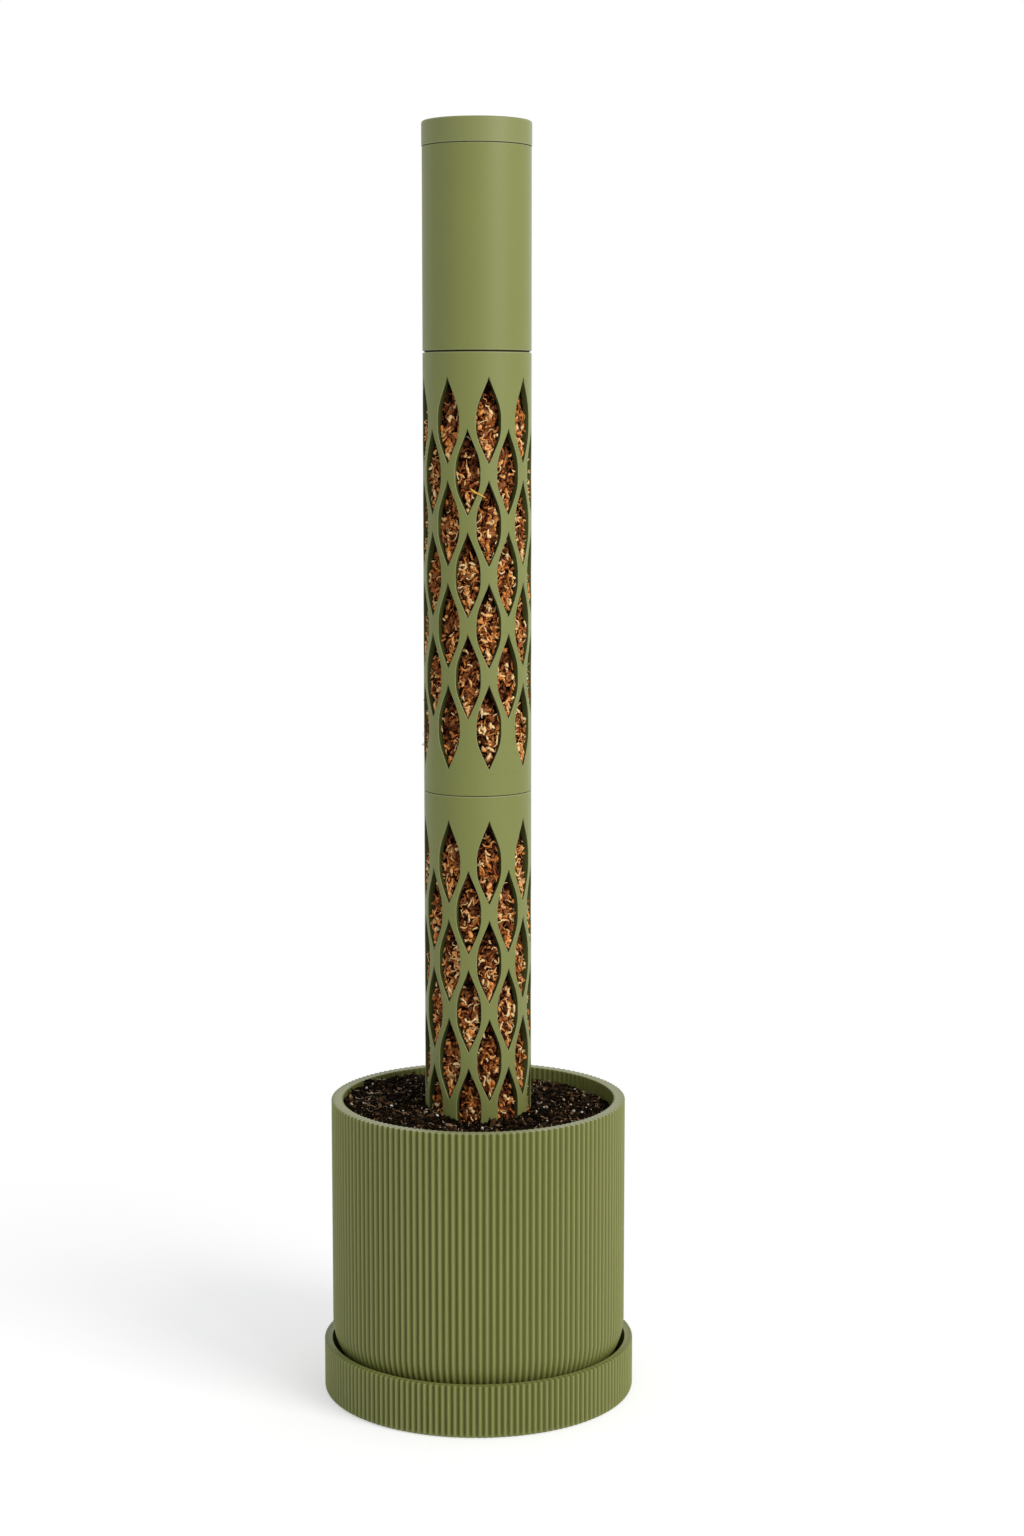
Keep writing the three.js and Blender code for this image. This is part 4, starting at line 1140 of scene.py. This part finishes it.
def moulded_surface():
    """A group for moulded plastic: faint clouds in colour and gloss and a fine grain in the surface."""
    group = bpy.data.node_groups.new("moulded_surface", "ShaderNodeTree")
    sockets = {"INPUT": ("Colour", "Clouds", "Gloss"), "OUTPUT": ("Colour", "Roughness", "Height")}
    for side, labels in sockets.items():
        for label in labels:
            kind = "NodeSocketColor" if label == "Colour" else "NodeSocketFloat"
            group.interface.new_socket(label, in_out=side, socket_type=kind)
    given = group.nodes.new("NodeGroupInput").outputs
    place = object_place(group)
    cloud = noise(group, place, scale=22.0, detail=4.0)
    speck = noise(group, place, scale=900.0, detail=2.0)
    shade = worked_out(group, "MULTIPLY", worked_out(group, "SUBTRACT", cloud, 0.5), given["Clouds"])
    value = worked_out(group, "ADD", shade, span(group, speck, 0.96, 1.04))
    feed(group, group.nodes.new("NodeGroupOutput"), {
        "Colour": brightened(group, given["Colour"], value),
        "Roughness": worked_out(group, "ADD", given["Gloss"], span(group, cloud, -0.07, 0.07)),
        "Height": noise(group, place, scale=2600.0, detail=2.0),
    })
    return group


def new_material(name):
    """A material, its tree and its shader."""
    made = bpy.data.materials.new(name)
    made.use_nodes = True
    return made, made.node_tree, made.node_tree.nodes["Principled BSDF"]


def plastic(name, group, colour, gloss, clouds, grain, shine, hollow):
    """Moulded plastic, darker and duller down in its grooves, where shade is painted, and paler on fine
    edges, where a highlight is painted. The plain shine is set before the one that the grooves vary is
    linked over it."""
    made, tree, shader = new_material(name)
    surface = new_node(
        tree, "ShaderNodeGroup", {"Colour": (*colour, 1), "Gloss": gloss, "Clouds": clouds}, node_tree=group)
    # The groove value darkens the colour: painted shade in rib valleys, window walls and the reservoir's
    # shadow gap
    groove = point_value(tree, "groove")
    shaded = brightened(tree, surface.outputs["Colour"], span(tree, groove, 1.0, hollow))
    # The edge value mixes in a pale colour: a painted highlight on rims, window edges and seams
    painted_highlight = span(tree, point_value(tree, "edge"), 0.0, PAINTED_HIGHLIGHT_SHARE)
    feed(tree, shader, {
        "Base Color": blended(tree, painted_highlight, shaded, PAINTED_HIGHLIGHT_COLOUR),
        "Roughness": surface.outputs["Roughness"],
        "Normal": bumped(tree, surface.outputs["Height"], grain, GRAIN_HEIGHT),
        "Specular IOR Level": shine,
    })
    feed(tree, shader, {"Specular IOR Level": span(tree, groove, shine, GROOVE_SHINE)})
    return made


def crumbly(name, stops, grain, bump, roughness, shine, label=None, reach=0.0, wrinkle=None, shade=None):
    """Moss or soil. Its colour follows a ramp by noise, or by a value of each point that noise shifts by a
    reach to either side; a second ramp, by depth, may darken it with painted shade. Its bump is the noise or
    a wrinkle. Grain and wrinkle are a noise's scale, detail and roughness, and bump is a strength and a
    distance."""
    made, tree, shader = new_material(name)
    place = object_place(tree)
    patch = noise(tree, place, *grain)
    value = patch
    if label:
        shift = span(tree, patch, -reach, reach)
        value = worked_out(tree, "ADD", point_value(tree, label), shift, clamp=True)
    colour = ramp(tree, value, stops)
    if shade:
        colour = blended(tree, 1.0, colour, ramp(tree, point_value(tree, "depth"), shade), "MULTIPLY")
    height = noise(tree, place, *wrinkle) if wrinkle else patch
    feed(tree, shader, {
        "Base Color": colour,
        "Normal": bumped(tree, height, *bump),
        "Roughness": roughness,
        "Specular IOR Level": shine,
    })
    return made


def moss_strand(name, stops):
    """Strands of moss, with shade painted on them deep in the windows."""
    return crumbly(
        name, stops, grain=(260.0, 5.0, 0.75), bump=(1.0, 0.0004), roughness=0.8, shine=0.25,
        label="tone", reach=0.4, wrinkle=(1400.0, 2.0),
        shade=[(0.0, (0.03, 0.025, 0.022)), (0.4, (0.3, 0.26, 0.24)), (0.8, (1, 1, 1))])


# The object

surface_group = moulded_surface()
# hollow is how dark the painted shade in the grooves gets
pole_green = plastic(
    "pole_green", surface_group, POLE_GREEN, gloss=0.46, clouds=0.10, grain=0.25, shine=0.42, hollow=0.25)
pot_green = plastic(
    "pot_green", surface_group, POT_GREEN, gloss=0.46, clouds=0.12, grain=0.35, shine=0.55, hollow=0.5)
silicone_grey = plastic(
    "silicone_grey", surface_group, SILICONE_GREY, gloss=0.5, clouds=0.1, grain=0.3, shine=0.42, hollow=0.5)
moss_fibre = moss_strand("moss_fibre", [
    (0.0, (0.030, 0.007, 0.003)), (0.25, (0.15, 0.033, 0.008)), (0.5, (0.38, 0.105, 0.020)),
    (0.75, (0.85, 0.325, 0.070)), (1.0, (0.95, 0.68, 0.32)),
])
straw = moss_strand("straw", [(0.0, (0.50, 0.22, 0.02)), (1.0, (0.95, 0.62, 0.12))])
# The mass's colour follows its depth value: painted shade, near black deep down
moss_mass = crumbly("moss_mass", [
    (0.0, (0.004, 0.0014, 0.0007)), (0.45, (0.028, 0.008, 0.003)), (0.75, (0.17, 0.05, 0.015)),
    (1.0, (0.44, 0.17, 0.055)),
], (620.0, 5.0, 0.75), bump=(1.0, 0.0012), roughness=0.95, shine=0.1, label="depth", reach=0.9)
soil_crumb = crumbly("potting_soil", [
    (0.3, (0.0018, 0.0011, 0.0005)), (0.55, (0.006, 0.0036, 0.0015)), (0.72, (0.027, 0.0148, 0.006)),
], (700.0, 5.0, 0.7), bump=(1.0, 0.0012), roughness=0.95, shine=0.02)
soil_bit = crumbly("soil_bits", [
    (0.0, (0.0022, 0.0013, 0.0005)), (0.35, (0.0095, 0.0057, 0.0025)), (0.6, (0.047, 0.0255, 0.011)),
    (0.7, (0.13, 0.062, 0.027)), (0.82, (0.28, 0.165, 0.08)), (0.92, (0.52, 0.41, 0.27)),
    (1.0, (0.80, 0.76, 0.68)),
], (1500.0, 4.0, 0.65), bump=(0.8, 0.0006), roughness=0.9, shine=0.05, label="tone", reach=0.22)

saucer(pot_green)
pot(pot_green)
drain_plate(pot_green)
soil_bed(soil_crumb)
soil_bits(soil_bit)
soil_fibres(soil_bit)
stake(pole_green)
for number, (level_word, body) in enumerate((("lower", "planter"), ("upper", "upper_module"))):
    seed = SEED + 10 * number
    moss_node = level_word + "_moss_core"
    sleeve(level_word + "_sleeve", body, pole_green)
    moss_core(moss_node, body, moss_mass, seed)
    for offset, look in enumerate(MOSS_LOOKS, 2):
        moss_layer(moss_node, body, moss_fibre, look, seed + offset)
    coupling(level_word + "_coupling_ring", level_word + "_coupling", pole_green)
moss_strays("upper_moss_core", "upper_module", moss_fibre, straw, SEED + 30)
reservoir(pole_green)
drip_fitting(silicone_grey)
cap(pole_green)
seal_ring(silicone_grey)


# Studio

def empty_tree(owner):
    """The node tree of a material or world, with nothing in it yet."""
    owner.use_nodes = True
    owner.node_tree.nodes.clear()
    return owner.node_tree


def seen_rays(tree):
    """One for the rays that show a surface to the camera, also in reflections and through clear pieces."""
    rays = new_node(tree, "ShaderNodeLightPath").outputs
    seen = worked_out(tree, "MAXIMUM", rays["Is Camera Ray"], rays["Is Glossy Ray"])
    return worked_out(tree, "MAXIMUM", seen, rays["Is Transmission Ray"])


def chosen(tree, share, first, second):
    """The first shader where the share is 0, the second where it is 1."""
    made = new_node(tree, "ShaderNodeMixShader", {0: share, 1: first, 2: second})
    return made.outputs[0]


def floor():
    """A large pale floor that keeps a soft shadow near the object and is plain white further off."""
    half, glow, shadow_end, white_start = 6.0, 0.39, 0.22, 0.5
    mesh = bpy.data.meshes.new("floor")
    corners = [(-half, -half, 0), (half, -half, 0), (half, half, 0), (-half, half, 0)]
    mesh.from_pydata(corners, [], [(0, 1, 2, 3)])
    made = placed("floor", mesh)
    material = bpy.data.materials.new("pale_floor")
    tree = empty_tree(material)
    matt = new_node(tree, "ShaderNodeBsdfDiffuse", {"Color": FLOOR_GREY}).outputs[0]
    lift = new_node(tree, "ShaderNodeEmission", {"Color": WHITE, "Strength": glow}).outputs[0]
    near = new_node(tree, "ShaderNodeAddShader", {0: matt, 1: lift}).outputs[0]
    far = new_node(tree, "ShaderNodeEmission", {"Color": WHITE, "Strength": 1.0}).outputs[0]
    distance = new_node(tree, "ShaderNodeVectorMath", {0: object_place(tree)}, operation="LENGTH")
    away = new_node(tree, "ShaderNodeMapRange", {
        "Value": distance.outputs["Value"], "From Min": shadow_end, "From Max": white_start,
    }, interpolation_type="SMOOTHSTEP").outputs["Result"]
    surface = chosen(tree, seen_rays(tree), matt, chosen(tree, away, near, far))
    new_node(tree, "ShaderNodeOutputMaterial", {"Surface": surface})
    mesh.materials.append(material)


def world():
    """Soft light all round, and plain white behind the object."""
    made = bpy.data.worlds.new("studio")
    bpy.context.scene.world = made
    tree = empty_tree(made)
    soft = new_node(tree, "ShaderNodeBackground", {"Color": WHITE, "Strength": 0.55}).outputs[0]
    plain = new_node(tree, "ShaderNodeBackground", {"Color": WHITE, "Strength": 1.0}).outputs[0]
    new_node(tree, "ShaderNodeOutputWorld", {"Surface": chosen(tree, seen_rays(tree), soft, plain)})


def softbox(name, place, target, width, power, colour=(1.0, 1.0, 1.0)):
    """A tall rectangular lamp that faces a height on the axis."""
    light = bpy.data.lights.new(name, "AREA")
    light.shape = "RECTANGLE"
    light.size, light.size_y, light.energy, light.color = width, LAMP_HEIGHT, power, colour
    made = placed(name, light)
    made.location = place
    facing = Vector((0, 0, target)) - Vector(place)
    made.rotation_euler = facing.to_track_quat("-Z", "Y").to_euler()


def camera():
    """The photograph's view: place, pitch and focal length were fitted to it."""
    lens = bpy.data.cameras.new("camera")
    lens.sensor_fit = "VERTICAL"
    lens.sensor_height = SENSOR_HEIGHT
    lens.lens = CAMERA_FOCAL_PIXELS / IMAGE_HEIGHT * SENSOR_HEIGHT
    made = placed("camera", lens)
    made.location = CAMERA_PLACE
    made.rotation_euler = (math.pi / 2 - CAMERA_PITCH, 0, 0)
    bpy.context.scene.camera = made


floor()
world()
softbox("key_light", (1.3, -1.1, 1.25), target=0.3, width=0.9, power=20, colour=(1.0, 0.97, 0.95))
softbox("strip_light", (0.70, -1.44, 0.75), target=0.45, width=0.12, power=2)
softbox("edge_light", (0.75, 1.3, 0.5), target=0.35, width=0.4, power=1)
camera()
bpy.context.scene.view_settings.view_transform = "Standard"
